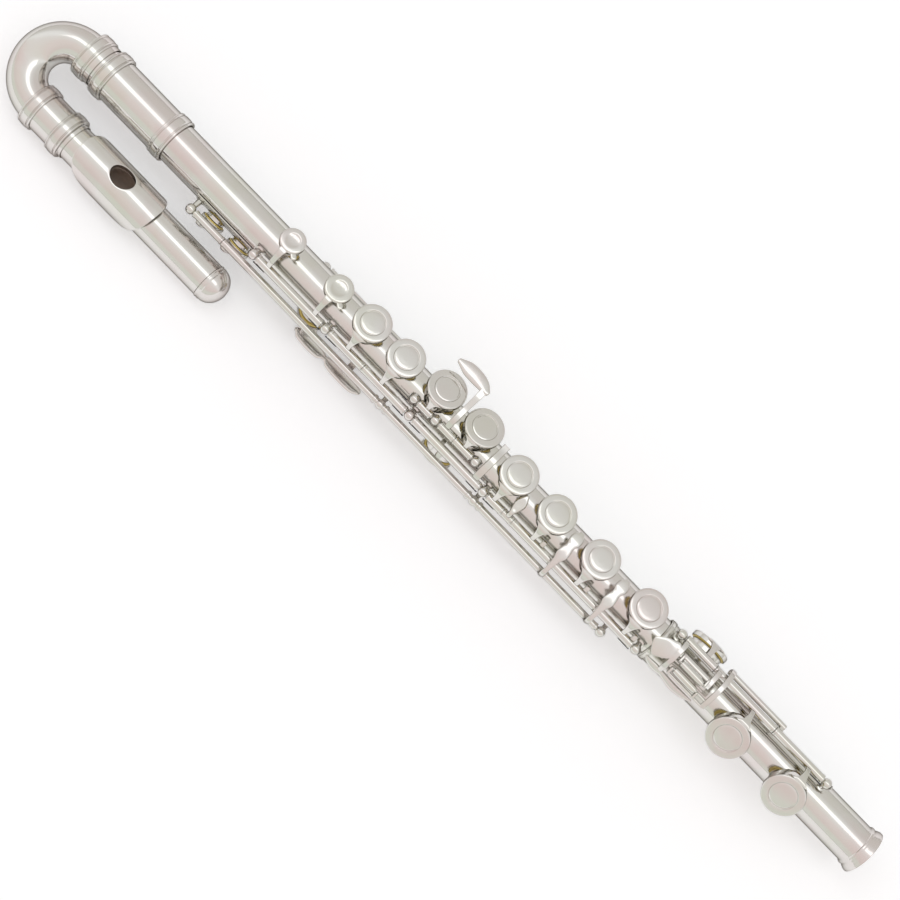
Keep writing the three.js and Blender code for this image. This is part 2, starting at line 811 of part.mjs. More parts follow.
// The body's long rib carries the posts of the main rod, the trill line and the G rod.
function bodyRib() {
  const inner = tubeRadius + ribGap;
  const outer = inner + ribThickness;
  const { low, high, tongueLow, tongueHigh, tabHigh } = ribAngles;
  const start = upperPostAt - ribMargin;
  const plate = strip(start, lowerPostAt + ribMargin, inner, outer, low, high);
  const tongue = strip(trillTopPostAt - ribMargin, start + overrun, inner, outer, tongueLow, tongueHigh);
  const gPosts = Object.values(gPostsAt);
  const tab = (at) => strip(at - postFoot, at + postFoot, inner, outer, high - stripAngle, tabHigh);
  const mainPosts = [upperPostAt, leftHandPostAt, middlePostAt, rightHandPostAt, lowerPostAt];
  const trillMiddle = [trillUpperPostAt, trillLowerPostAt];
  const posts = [
    ...mainPosts.map((at) => post(at, mainRod)),
    ...[trillTopPostAt, ...trillMiddle, trillEndPostAt].map((at) => post(at, trillRod)),
    ...gPosts.map((at) => post(at, gRod)),
  ];
  const wide = trillHingeRadius + boreClearance;
  return cut(
    join(plate, tongue, ...gPosts.map(tab), ...posts),
    drillAlong(upperPostAt, lowerPostAt, mainRod),
    drillAlong(trillTopPostAt, trillEndPostAt, trillRod),
    ...trillMiddle.map((at) => drillAlong(at - postBall, at + postBall, trillRod, wide)),
    drillAlong(gPostsAt.top, gPostsAt.end, gRod),
  );
}

const thumbTouchAt = thumbHoleAt + bTouchLength * 0.51;
const thumbLeverAt = thumbTouchAt + bTouchLength / 2 + betweenThumbTouches + bFlatTouchLength / 2;
const thumbPostsAt = {
  top: thumbHoleAt - leftHandCup * 1.26,
  end: thumbLeverAt + bFlatTouchLength / 2 + postBall,
};

function thumbRib() {
  const inner = tubeRadius + ribGap;
  const { top, end } = thumbPostsAt;
  const low = thumbRodAngle - thumbRibHalfAngle;
  const high = thumbRodAngle + thumbRibHalfAngle;
  const plate = strip(top - postFoot, end + postFoot, inner, inner + ribThickness, low, high);
  return cut(join(plate, post(top, thumbRod), post(end, thumbRod)), drillAlong(top, end, thumbRod));
}

// The foot's rib steps down off the socket, which its first post stands on.
function footRib() {
  const inner = tubeRadius + ribGap;
  const step = socketRadius + barrelWall + ribGap;
  const { low, high } = footRibAngles;
  const tabEnd = footSocketEnd + ribMargin;
  const tab = strip(footTopPostAt - postFoot, tabEnd, step, step + ribThickness, low, high);
  const end = footEndPostAt + ribMargin;
  const plate = strip(footSocketEnd + ribGap, end, inner, inner + ribThickness, low, high);
  const posts = join(post(footTopPostAt, footRod, step), post(footEndPostAt, footRod));
  return cut(join(tab, plate, posts), drillAlong(footTopPostAt, footEndPostAt, footRod));
}

function rod(name, from, to, line) {
  const axis = axisOf(line);
  return named(name, barAlong(from, to, rodRadius, smallSides, axis.y, axis.z), steel);
}

function hinge(from, to, line, radius = hingeRadius) {
  const axis = axisOf(line);
  return barAlong(from, to, radius, smallSides, axis.y, axis.z);
}

// The arm from a hinge to the near edge of its cup, narrow at the hinge and splayed where it meets the
// cup. Its table holds shares of the way across, of the way out, and of the splay.
const cupArmShares = [[0.02, 0.1, 0], [0.3, 0.55, 0], [0.7, 0.93, 0.3], [1, 1.02, 1]];
const splayShare = 0.75;
function cupArm(x, angle, line, radius, at = seat, splay = radius * splayShare) {
  const across = line.radius * Math.sin(degrees(line.angle - angle));
  const out = line.radius * Math.cos(degrees(line.angle - angle));
  const edge = Math.sign(across) * (radius - cupWall);
  const top = at.top - cupDome - armThickness / 4;
  const stations = cupArmShares.map(([acrossShare, outShare, wide]) => {
    const place = spot(x, angle, across + (edge - across) * acrossShare, out + (top - out) * outShare);
    return [place, armWidth + splay * wide, armThickness];
  });
  return blade(stations, spot(0, angle, Math.sign(across), 1));
}

// A key is built shut and then swung about its rod to the way it stands at rest.
function hinged(line, swing, ...pieces) {
  const axis = axisOf(line);
  const turning = new THREE.Group();
  turning.position.copy(axis);
  turning.rotation.x = degrees(swing);
  for (const piece of pieces) {
    piece.position.copy(axis).negate();
    turning.add(piece);
  }
  return turning;
}

// The metal of a key: its hinge tube and parts in one, bored for the rod and cleared for its pad.
function keyMetal(name, line, ends, parts, spaces = []) {
  const whole = join(hinge(...ends, line), ...parts);
  return named(name, cut(whole, drillAlong(...ends, line), ...spaces), silver);
}

function coverKey(name, x, angle, radius, line, ends, swing, ...extras) {
  const parts = [cup(x, angle, radius), cupArm(x, angle, line, radius), ...extras];
  const metal = keyMetal(name + "_key", line, ends, parts, [padSpace(x, angle, radius)]);
  return hinged(line, swing, metal, pad(name + "_pad", x, angle, radius));
}

// A lug on a key's hinge tube, with the head of its adjusting screw.
function lug(x) {
  const axis = axisOf(mainRod, x);
  const tip = axis.clone().add(new THREE.Vector3(0, lugReach, hingeRadius / 2));
  const bar = blade([[axis, armWidth, armThickness], [tip, armWidth, armThickness]], outward(0));
  const [low, high] = [-armThickness, armThickness];
  const head = turned([[0, low], [screwHead, low], [screwHead, high], [0, high]], smallSides);
  return join(bar, solid(head.translate(tip.x, tip.y - screwHead, tip.z)));
}

const beforePost = (at) => at - postBall - endGap;
const afterPost = (at) => at + postBall + endGap;
const betweenBFlatAndA = (bFlatHoleAt + aHoleAt) / 2;
const sideTouchWidth = fSharpToF * 0.85;
const cSharpHinge = [afterPost(upperPostAt), beforePost(leftHandPostAt)];
const bFlatHinge = [afterPost(leftHandPostAt), betweenBFlatAndA];
const aHinge = [betweenBFlatAndA + endGap, beforePost(middlePostAt)];
const eLeverHinge = [afterPost(middlePostAt), beforePost(rightHandPostAt)];
const sideHinge = [sideTouchAt - sideTouchWidth * 0.6, sideTouchAt + sideTouchWidth * 0.6];
const fSharpHinge = [afterPost(rightHandPostAt), sideHinge[0] - endGap];
const fHinge = [sideHinge[1] + endGap, dTrillTouchAt];
const eHinge = [fHinge[1] + endGap, dSharpTrillTouchAt];
const dHinge = [eHinge[1] + endGap, beforePost(lowerPostAt)];

// The C sharp key has its small cup over the first hole, and further down a finger cup with no hole under
// it.
function cSharpKey() {
  const touchSeat = { ...seat, ceiling: seat.top - cupTop };
  const splay = smallCup * splayShare * 0.4;
  const parts = [
    cup(cSharpHoleAt, keyLine, smallCup),
    cupArm(cSharpHoleAt, keyLine, mainRod, smallCup, seat, splay),
    cup(cTouchAt, keyLine, touchCup, touchSeat),
    cupArm(cTouchAt, keyLine, mainRod, touchCup, seat, splay),
  ];
  const spaces = [padSpace(cSharpHoleAt, keyLine, smallCup)];
  return hinged(
    mainRod,
    mainLift,
    keyMetal("c_sharp_key", mainRod, cSharpHinge, parts, spaces),
    pad("c_sharp_pad", cSharpHoleAt, keyLine, smallCup),
  );
}

// The split E's lever crosses the tube between the lower G and F sharp cups.
const eLeverShares = [[-24, 1], [-8, 1], [12, 1], [30, 1], [42, 1.23]];
function eLever() {
  const arm = bentArm(mainRod, eLeverAt, eLeverStand, lowerGToFSharp * 0.5, armThickness, eLeverShares);
  return hinged(mainRod, 0, keyMetal("e_mechanism_lever", mainRod, eLeverHinge, [arm]));
}

// The side B flat lever's touch stands between the F sharp and F cups.
const sideTouchShares = [[-28, 1.4, 0.5], [-18, 1.15, 0.9], [-8, 1, 1.25], [2, 0.98, 1.05], [9, 0.98, 0.6]];
function sideLever() {
  const touch = bentArm(
    mainRod,
    sideTouchAt,
    sideTouchStand,
    sideTouchWidth,
    touchThickness,
    sideTouchShares,
    pillowShares,
  );
  return hinged(mainRod, 0, keyMetal("side_b_flat_lever", mainRod, sideHinge, [touch]));
}

// The G sharp key: a stem over the tube to the touch, which sweeps back beside the G cups, and a thin arm
// that passes under the main rod to the cup on the tube's near side.
const stemShares = [[9, 0.41], [32, 0.54], [46, 0.79, 1.1], [54, 0.97, 1.3]];
const sweepShares = [
  [54, 0.06, 0.97, 0.5, 0.8],
  [57, -0.13, 1, 0.85, 0.9],
  [59, -0.38, 1, 1, 1],
  [59, -0.68, 1, 0.93, 0.9],
  [58, -0.95, 1, 0.4, 0.6],
];
const underShares = [[-27, 1], [-42, 1], [-60, 1], [-76, 1.65], [-86, 2.8, 1.6], [-94, 3.6, 2.2]];
function gSharpKey() {
  const ends = [afterPost(gPostsAt.middle), gSharpArmAt + armWidth];
  const underStand = ribGap + ribThickness + underGap + underThickness / 2;
  const stemWidth = upperGToLowerG * 0.6;
  const sweep = sweepShares.map(([angle, along, standShare, wide, thick]) => [
    over(gStemAt + gSharpTouchLength * along, angle, gSharpTouchStand * standShare),
    gSharpTouchWidth * wide,
    touchThickness * thick,
  ]);
  const parts = [
    bentArm(gRod, gStemAt, gSharpTouchStand, stemWidth, armThickness, stemShares),
    blade(sweep, outward(gSharpTouchFace), pillowShares),
    bentArm(gRod, gSharpArmAt, underStand, armWidth, underThickness, underShares),
    cup(gSharpHoleAt, gSharpLine, gSharpCup),
  ];
  const spaces = [padSpace(gSharpHoleAt, gSharpLine, gSharpCup)];
  return hinged(
    gRod,
    0,
    keyMetal("g_sharp_key", gRod, ends, parts, spaces),
    pad("g_sharp_pad", gSharpHoleAt, gSharpLine, gSharpCup),
  );
}

// Trill keys share one line: the D sharp key's own shaft runs inside the D key's long tube. Their touches
// reach over the main rod, and their cups shut small holes on the tube's near side.
const trillTouchShares = [
  [-63, 1.14, 0.46, 0.6],
  [-52, 1.48, 0.4, 0.6],
  [-43, 1.72, 0.4, 0.6],
  [-33, 1.52, 0.4, 0.65],
  [-21, 1.27, 0.6, 0.8],
  [-13, 1.15, 0.95, 0.9],
  [-4, 1.06, 0.85, 0.9],
  [3, 1.01, 0.7, 0.9],
  [12, 0.99, 1, 1],
  [21, 1, 0.9, 0.9],
  [26, 1.02, 0.5, 0.6],
];
const trillTouchWidth = fToE * 0.65;
function trillTouch(x) {
  const [width, thickness] = [trillTouchWidth, touchThickness];
  return bentArm(trillRod, x, trillTouchStand, width, thickness, trillTouchShares, pillowShares);
}

function trillCupArm(x, cupAt) {
  return blade(
    [
      [axisOf(trillRod, x), armWidth, armThickness],
      [over(x, trillRodAngle - 7, trillRodStand * 1.22), armWidth, armThickness],
      [over((x + cupAt) / 2, trillLine + 14, trillRodStand * 1.04), armWidth, armThickness],
      [spot(cupAt, trillLine + 1, 0, trillSeat.top), armWidth * 1.6, armThickness],
    ],
    outward((trillRodAngle + trillLine) / 2),
  );
}

// A long round run on the trill line, whose middle, between the line's two inner posts, is relieved to
// another radius.
function trillRun(from, to, radius, middleRadius) {
  const axis = axisOf(trillRod);
  const profile = [
    [0, from],
    [radius, from],
    [radius, trillUpperPostAt],
    [middleRadius, trillUpperPostAt],
    [middleRadius, trillLowerPostAt],
    [radius, trillLowerPostAt],
    [radius, to],
    [0, to],
  ];
  return turnedAlong(profile, smallSides, axis.y, axis.z);
}

// A collar soldered on the D trill's tube beside a post.
function trillCollar(post, side) {
  const middle = post + side * (postBall + endGap + collarWidth / 2);
  return hinge(middle - collarWidth / 2, middle + collarWidth / 2, trillRod, trillHingeRadius + collarStand);
}

const dSharpTrillArmAt = dSharpTrillHoleAt - trillCup * 0.47;
const dTrillArmAt = dTrillHoleAt - trillCup * 0.54;
const trillEndCollar = armWidth * 0.7;
function trillKeys() {
  const dEnds = [dTrillArmAt - trillEndCollar, dTrillTouchAt + trillEndCollar];
  const dParts = [
    cup(dTrillHoleAt, trillLine, trillCup, trillSeat),
    trillCupArm(dTrillArmAt, dTrillHoleAt),
    trillTouch(dTrillTouchAt),
    ...[trillUpperPostAt, trillLowerPostAt].flatMap((at) => [trillCollar(at, -1), trillCollar(at, 1)]),
  ];
  const dBore = trillRun(dEnds[0] - overrun, dEnds[1] + overrun, boreRadius, boreRadius + relief);
  const dMetal = join(hinge(...dEnds, trillRod, trillHingeRadius), ...dParts);
  const dSpace = padSpace(dTrillHoleAt, trillLine, trillCup, trillSeat);
  const shaftStart = trillTopPostAt - postBall / 2;
  const shaftEnd = trillEndPostAt + postBall / 2;
  const dSharp = join(
    trillRun(shaftStart, shaftEnd, rodRadius, rodRadius - relief),
    hinge(afterPost(trillTopPostAt), dEnds[0] - endGap, trillRod, trillHingeRadius),
    hinge(dEnds[1] + endGap, beforePost(trillEndPostAt), trillRod, trillHingeRadius),
    cup(dSharpTrillHoleAt, trillLine, trillCup, trillSeat),
    trillCupArm(dSharpTrillArmAt, dSharpTrillHoleAt),
    trillTouch(dSharpTrillTouchAt),
  );
  const dSharpSpace = padSpace(dSharpTrillHoleAt, trillLine, trillCup, trillSeat);
  return [
    hinged(
      trillRod,
      0,
      named("d_trill_key", cut(dMetal, dBore, dSpace), silver),
      pad("d_trill_pad", dTrillHoleAt, trillLine, trillCup, trillSeat),
    ),
    hinged(
      trillRod,
      0,
      named("d_sharp_trill_key", cut(dSharp, dSharpSpace), silver),
      pad("d_sharp_trill_pad", dSharpTrillHoleAt, trillLine, trillCup, trillSeat),
    ),
  ];
}

// Thumb keys under the body: the touches stand side by side on the player's side of the tube. The B touch
// grows out of its cup's far edge, and the B flat lever reaches its touch by an arm that passes close
// under the tube.
const thumbPlateShares = [[-0.5, 0.4], [-0.36, 0.86], [0, 1], [0.36, 0.9], [0.5, 0.45]];
const thumbArmShares = [[160, 0.456], [185, 0.34], [210, 0.32], [232, 0.553], [246, 0.96]];
function thumbPlate(x, length) {
  const plate = thumbPlateShares.map(([along, wide]) => [
    over(x + length * along, thumbTouchLine, thumbTouchStand),
    thumbTouchWidth * wide,
    thumbTouchThickness,
  ]);
  return blade(plate, outward(thumbLine), pillowShares);
}

function thumbKeys() {
  const middle = (thumbTouchAt + thumbLeverAt) / 2;
  const bEnds = [afterPost(thumbPostsAt.top), middle];
  const leverEnds = [middle + endGap, beforePost(thumbPostsAt.end)];
  const neckBase = seat.top - armThickness;
  const neckStart = spot(thumbHoleAt + leftHandCup / 3, thumbLine, leftHandCup * 0.8, neckBase);
  const neckEnd = over(thumbHoleAt + leftHandCup * 0.7, thumbTouchLine, thumbTouchStand);
  const neck = blade(
    [[neckStart, leftHandCup * 0.8, armThickness], [neckEnd, leftHandCup * 0.9, armThickness]],
    outward(thumbLine),
  );
  const bParts = [
    cup(thumbHoleAt, thumbLine, leftHandCup),
    cupArm(thumbHoleAt, thumbLine, thumbRod, leftHandCup),
    thumbPlate(thumbTouchAt, bTouchLength),
    neck,
  ];
  const leverParts = [
    thumbPlate(thumbLeverAt, bFlatTouchLength),
    bentArm(thumbRod, thumbLeverAt, thumbTouchStand, armWidth * 1.4, armThickness, thumbArmShares),
  ];
  const spaces = [padSpace(thumbHoleAt, thumbLine, leftHandCup)];
  return [
    hinged(
      thumbRod,
      thumbLift,
      keyMetal("thumb_b_key", thumbRod, bEnds, bParts, spaces),
      pad("thumb_b_pad", thumbHoleAt, thumbLine, leftHandCup),
    ),
    hinged(thumbRod, thumbLift, keyMetal("thumb_b_flat_lever", thumbRod, leverEnds, leverParts)),
  ];
}

// Foot touches, from the player's side: the D sharp crescent, then the C roller and the C sharp roller in
// the frames of their keys. The C key reaches its frame by a bar that runs outside the C sharp key's hinge
// tube.
const rollerBore = axleRadius + boreClearance;
const cSharpRoller = { radius: tubeRadius + rollerStand, angle: -1.4 };
const cRoller = { radius: tubeRadius + rollerStand, angle: -16.2 };
const footBar = { radius: tubeRadius + barStand, angle: 52 };
const dSharpArmAt = footTopPostAt + postBall + endGap + armWidth / 2;
const rollerStart = dSharpArmAt + armWidth / 2 + 2 * endGap + lugThickness + endGap;
const rollerEnd = rollerStart + rollerLength;
const cSharpArmAt = rollerEnd + endGap + lugThickness / 2 + armWidth / 2;
const cArmAt = cSharpArmAt + armWidth + footArmGap;
const barEndAt = cSharpFootHoleAt + footCup + barToCup;

function roller(name, line) {
  const axis = axisOf(line);
  const crowned = rollerRadius * 0.82;
  const profile = [
    [rollerBore, rollerStart],
    [crowned, rollerStart],
    [rollerRadius, rollerStart + rollerLength / 4],
    [rollerRadius, rollerEnd - rollerLength / 4],
    [crowned, rollerEnd],
    [rollerBore, rollerEnd],
    [rollerBore, rollerStart],
  ];
  return named(name, turnedAlong(profile, smallSides, axis.y, axis.z), silver);
}

// The frame round a roller: its axle, a lug at each end, and an edge strip beside it.
function rollerFrame(line, edge, width, to) {
  const axis = axisOf(line);
  const left = rollerStart - endGap - lugThickness / 2;
  const right = rollerEnd + endGap + lugThickness / 2;
  const upright = (x) =>
    blade(
      [[axisOf(line, x), lugThickness, armThickness * 2], [axisOf(edge, x), lugThickness, armThickness * 2]],
      outward(0),
    );
  const start = left - lugThickness / 2;
  const stripStations = [start, to].map((at) => [axisOf(edge, at), width, armThickness]);
  return join(
    barAlong(left, to, axleRadius, smallSides, axis.y, axis.z),
    upright(left),
    upright(right),
    blade(stripStations, outward(edge.angle), pillowShares),
  );
}

const dSharpFootArmShares = [[24, 1.5], [8, 1.5], [-10, 1.4], [-26, 1.17], [-39, 0.96]];
const platePitchShares = [[12, 0, 1.47, 0.74], [2, -0.46, 1.47, 1], [-10, -1, 1.35, 0.98]];
const crescentShares = [
  [-35, -0.29, 0.96, 0.35, 0.45],
  [-37.5, -0.2, 1, 0.8, 0.8],
  [-38.5, -0.07, 1, 1, 0.95],
  [-37.5, 0.06, 1, 0.75, 0.8],
  [-39, 0.17, 1, 0.85, 0.85],
  [-41, 0.35, 1, 1, 1],
  [-39, 0.55, 0.98, 0.8, 0.8],
  [-35, 0.7, 0.96, 0.3, 0.45],
];
function dSharpFootKey(ends) {
  const plate = platePitchShares.map(([angle, along, standShare, wide]) => [
    over(dSharpArmAt + platePitch * along, angle, crescentStand * standShare),
    plateWidth * wide,
    armThickness,
  ]);
  const crescent = crescentShares.map(([angle, along, standShare, wide, thick]) => [
    over(dSharpArmAt + crescentLength * along, angle, crescentStand * standShare),
    crescentWidth * wide,
    touchThickness * thick,
  ]);
  const parts = [
    bentArm(footRod, dSharpArmAt, crescentStand, armWidth, armThickness, dSharpFootArmShares),
    blade(plate, outward(0)),
    blade(crescent, outward(footLine), pillowShares),
    cup(dSharpFootHoleAt, dSharpLine, dSharpCup),
    cupArm(dSharpFootHoleAt, dSharpLine, footRod, dSharpCup),
  ];
  const spaces = [padSpace(dSharpFootHoleAt, dSharpLine, dSharpCup)];
  return hinged(
    footRod,
    0,
    keyMetal("d_sharp_foot_key", footRod, ends, parts, spaces),
    pad("d_sharp_foot_pad", dSharpFootHoleAt, dSharpLine, dSharpCup),
  );
}

const cSharpFootArmShares = [[28, 1.18], [13, 1.09], [-1.4, 1]];
function cSharpFootKey(ends) {
  const edge = { radius: tubeRadius + rollerStand, angle: 9.6 };
  const parts = [
    bentArm(footRod, cSharpArmAt, rollerStand, armWidth, armThickness, cSharpFootArmShares),
    rollerFrame(cSharpRoller, edge, armWidth, cSharpArmAt),
    cup(cSharpFootHoleAt, footLine, footCup),
    cupArm(cSharpFootHoleAt, footLine, footRod, footCup),
  ];
  const spaces = [padSpace(cSharpFootHoleAt, footLine, footCup)];
  return hinged(
    footRod,
    -footLift,
    keyMetal("c_sharp_foot_key", footRod, ends, parts, spaces),
    pad("c_sharp_foot_pad", cSharpFootHoleAt, footLine, footCup),
    roller("c_sharp_roller", cSharpRoller),
  );
}

const cFootArmShares = [[46, 1.4], [28, 1.46], [8, 1.31], [-13, 1.09], [-26, 1]];
function cFootKey(ends) {
  const bar = axisOf(footBar);
  const edge = { radius: tubeRadius + rollerStand, angle: -26 };
  const link = [
    [axisOf(footRod, barEndAt), armWidth, armThickness * 1.5],
    [axisOf(footBar, barEndAt), armWidth, armThickness * 1.5],
  ];
  const parts = [
    barAlong(cArmAt - armWidth / 2, barEndAt + armWidth / 2, barRadius, smallSides, bar.y, bar.z),
    blade(link, outward(90)),
    bentArm(footBar, cArmAt, rollerStand, armWidth, armThickness, cFootArmShares),
    rollerFrame(cRoller, edge, armThickness, cArmAt),
    cup(cFootHoleAt, footLine, footCup),
    cupArm(cFootHoleAt, footLine, footRod, footCup),
  ];
  const spaces = [padSpace(cFootHoleAt, footLine, footCup)];
  return hinged(
    footRod,
    -footLift,
    keyMetal("c_foot_key", footRod, ends, parts, spaces),
    pad("c_foot_pad", cFootHoleAt, footLine, footCup),
    roller("c_roller", cRoller),
  );
}

function headTenon() {
  return pipeAlong(-tenonSetback, tenonLength - tenonSetback, tubeRadius, tubeBore, tubeSides);
}

function headJoint() {
  return [
    named("crown", crown(), silver),
    named("head_cork", headCork(), corkMaterial),
    named("cork_screw", corkScrew(), brass),
    named("mouthpiece_tube", mouthpieceTube(), silver),
    named("lip_plate", lipPlate(), silver),
    named("mouthpiece_ferrule", mouthpieceFerrule(), silver),
    named("u_bend", uBend(), silver),
    named("bend_ferrule", bendFerrule(), silver),
    named("head_tenon", headTenon(), silver),
  ];
}

function bodyJoint() {
  const { top, middle, end } = gPostsAt;
  const gTopHinge = [afterPost(top), beforePost(middle)];
  const gEndHinge = [gSharpArmAt + armWidth + endGap, beforePost(end)];
  const lugAt = rightHandCup * 0.56;
  return [
    named("barrel", barrel(), silver),
    named("body_tube", bodyTube(), silver),
    named("body_rib", bodyRib(), silver),
    named("thumb_rib", thumbRib(), silver),
    rod("c_sharp_rod", upperPostAt - postBall / 2, leftHandPostAt - endGap / 2, mainRod),
    rod("main_rod", leftHandPostAt + endGap, lowerPostAt + postBall / 2, mainRod),
    rod("g_rod", top - postBall / 2, end + postBall / 2, gRod),
    rod("thumb_rod", thumbPostsAt.top - postBall / 2, thumbPostsAt.end + postBall / 2, thumbRod),
    cSharpKey(),
    coverKey("b_flat", bFlatHoleAt, keyLine, leftHandCup, mainRod, bFlatHinge, mainLift),
    coverKey("a", aHoleAt, keyLine, leftHandCup, mainRod, aHinge, mainLift),
    coverKey("upper_g", upperGHoleAt, gLine, gCup, gRod, gTopHinge, gLift),
    coverKey("lower_g", lowerGHoleAt, gLine, gCup, gRod, gEndHinge, gLift),
    gSharpKey(),
    eLever(),
    coverKey("f_sharp", fSharpHoleAt, keyLine, rightHandCup, mainRod, fSharpHinge, mainLift),
    sideLever(),
    coverKey("f", fHoleAt, keyLine, rightHandCup, mainRod, fHinge, mainLift, lug(fHoleAt + lugAt)),
    coverKey("e", eHoleAt, keyLine, rightHandCup, mainRod, eHinge, mainLift, lug(eHoleAt + lugAt)),
    coverKey("d", dHoleAt, keyLine, rightHandCup, mainRod, dHinge, mainLift, lug(dHoleAt + lugAt)),
    ...trillKeys(),
    ...thumbKeys(),
  ];
}

function footJoint() {
  const dSharpEnd = cSharpArmAt - armWidth;
  const cSharpEnd = barEndAt - armWidth;
  return [
    named("foot_tube", footTube(), silver),
    named("foot_rib", footRib(), silver),
    rod("foot_rod", footTopPostAt - postBall / 2, footEndPostAt + postBall / 2, footRod),
    dSharpFootKey([afterPost(footTopPostAt), dSharpEnd]),
    cSharpFootKey([dSharpEnd + endGap, cSharpEnd]),
    cFootKey([cSharpEnd + endGap, beforePost(footEndPostAt)]),
  ];
}

const flute = new THREE.Group();
flute.add(...headJoint(), ...bodyJoint(), ...footJoint());
flute.rotation.x = degrees(layRoll);

// The part's origin is the middle of its footprint, on the table.
flute.updateMatrixWorld(true);
const box = new THREE.Box3().setFromObject(flute, true);
const middle = box.getCenter(new THREE.Vector3());
flute.position.set(-middle.x, -middle.y, -box.min.z);

export default flute;
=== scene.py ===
# %% [markdown]
# A curved head flute, dressed for a photograph
#
# The flute is a silver plated brass tube with sprung keys along it. Its shape is settled already in
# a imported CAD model, where every key is a body that turns on its rod. Here each piece is made again
# with fine round meshes, put exactly where the CAD piece lies, and given the finish that the real
# one has.

import math

import bmesh
import bpy
import numpy as np
from mathutils import Matrix, Vector

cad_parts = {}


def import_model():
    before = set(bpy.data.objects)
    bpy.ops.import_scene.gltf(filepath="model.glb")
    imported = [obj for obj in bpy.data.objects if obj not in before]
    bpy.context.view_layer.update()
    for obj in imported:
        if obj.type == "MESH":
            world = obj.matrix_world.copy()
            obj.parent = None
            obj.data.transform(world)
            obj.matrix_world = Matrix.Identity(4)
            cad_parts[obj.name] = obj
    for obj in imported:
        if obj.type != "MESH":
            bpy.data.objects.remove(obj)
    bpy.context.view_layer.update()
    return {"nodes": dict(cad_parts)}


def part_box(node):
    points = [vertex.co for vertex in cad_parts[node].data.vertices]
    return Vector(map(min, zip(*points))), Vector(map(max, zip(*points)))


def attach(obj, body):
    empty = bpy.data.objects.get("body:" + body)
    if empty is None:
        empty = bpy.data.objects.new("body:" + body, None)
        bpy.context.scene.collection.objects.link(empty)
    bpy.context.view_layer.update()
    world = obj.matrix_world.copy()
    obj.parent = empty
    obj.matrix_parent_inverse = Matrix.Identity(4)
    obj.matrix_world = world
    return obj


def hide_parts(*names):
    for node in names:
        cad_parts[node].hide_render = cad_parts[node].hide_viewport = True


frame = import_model()
bpy.context.scene.view_settings.view_transform = "Standard"

# %% [markdown]
# Where things are. The flute was laid out level, in millimetres, round the axis of its body tube: x
# runs down the tube from the top of the barrel, and a direction round the tube is an angle from
# straight up, positive away from the player. It was then rolled a little, the way it lies on the
# table. One matrix takes a layout point to the scene, and its place comes from two CAD pieces: the
# barrel's end gives x, and the tenon's middle gives the axis.

# %% From the layout to the scene
MM = 0.001
LAY_ROLL = math.radians(16)
barrel_low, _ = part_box("barrel")
tenon_low, tenon_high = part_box("head_tenon")
axis_place = Vector(
    (barrel_low.x, (tenon_low.y + tenon_high.y) / 2, (tenon_low.z + tenon_high.z) / 2)
)
LAY = Matrix.Translation(axis_place) @ Matrix.Rotation(LAY_ROLL, 4, "X") @ Matrix.Scale(MM, 4)
print("tube axis at", [round(v / MM, 2) for v in axis_place], "mm")


def spot(x, angle, across, out):
    """A layout point, given across and out from the tube's axis in one direction round the tube."""
    turn = math.radians(angle)
    y = across * math.cos(turn) + out * math.sin(turn)
    z = out * math.cos(turn) - across * math.sin(turn)
    return Vector((x, y, z))

# %% [markdown]
# The camera looks straight down on the plane of the head's two legs, from about 0.8 m, with the
# flute lying across the picture's diagonal. Its long lens keeps the tube's sides parallel.

# %% Camera
CAMERA_AIM = Vector((222.2, -7.39, 0))
CAMERA_HEIGHT = 789
CAMERA_TURN = math.radians(45.93)
LENS_PIXELS = 1815
PICTURE_PIXELS = 900
SENSOR_MM = 36

camera = bpy.data.objects.new("camera", bpy.data.cameras.new("camera"))
bpy.context.scene.collection.objects.link(camera)
camera.data.sensor_width = SENSOR_MM
camera.data.lens = SENSOR_MM * LENS_PIXELS / PICTURE_PIXELS
place = LAY @ (CAMERA_AIM + Vector((0, 0, CAMERA_HEIGHT)))
turn = Matrix.Rotation(LAY_ROLL, 4, "X") @ Matrix.Rotation(CAMERA_TURN, 4, "Z")
camera.matrix_world = Matrix.Translation(place) @ turn
bpy.context.scene.camera = camera
print("camera at", [round(v, 3) for v in place], "lens", round(camera.data.lens, 1), "mm")

# %% [markdown]
# Driving sizes, in millimetres and degrees, as on the CAD pieces. The tone holes are a chain: each
# cup starts a gap after the one before it, so their places are worked out down the tube.

# %% Sizes of tubes and cups
TUBE_RADIUS = 9.9
TUBE_WALL = 0.4
SOCKET_RADIUS = 10.12
SOCKET_WALL = 0.45
BEND_RADIUS = 9.0
MOUTHPIECE_RADIUS = 8.65
LEG = -31.7
SMALL_CUP, TOUCH_CUP, LEFT_CUP, G_CUP, RIGHT_CUP, G_SHARP_CUP = 5.9, 6.55, 8.7, 9.2, 8.9, 8.3
TRILL_CUP, D_SHARP_CUP, FOOT_CUP = 5.9, 9.4, 9.8
HOLE_INSET = 2
RIM_WALL = 0.6
KEY_LINE, G_LINE, TRILL_LINE, G_SHARP_LINE = 27, 40, -100, -122
THUMB_LINE, THUMB_TOUCH_LINE, FOOT_LINE, D_SHARP_LINE = -150, -113, -32, 99
MAIN_LIFT, G_LIFT, THUMB_LIFT, FOOT_LIFT = 9, 11, 8, 9
HINGE_RADIUS, TRILL_HINGE_RADIUS = 2, 1.7
POST_BALL = 2.4
ARM_WIDTH, ARM_THICKNESS, TOUCH_THICKNESS = 2.4, 1.3, 2.2
END_GAP = 0.3
BARREL_END = 43.5
THUMB_SHIFT = 3.1
print("bore", 2 * (TUBE_RADIUS - TUBE_WALL), "mm")

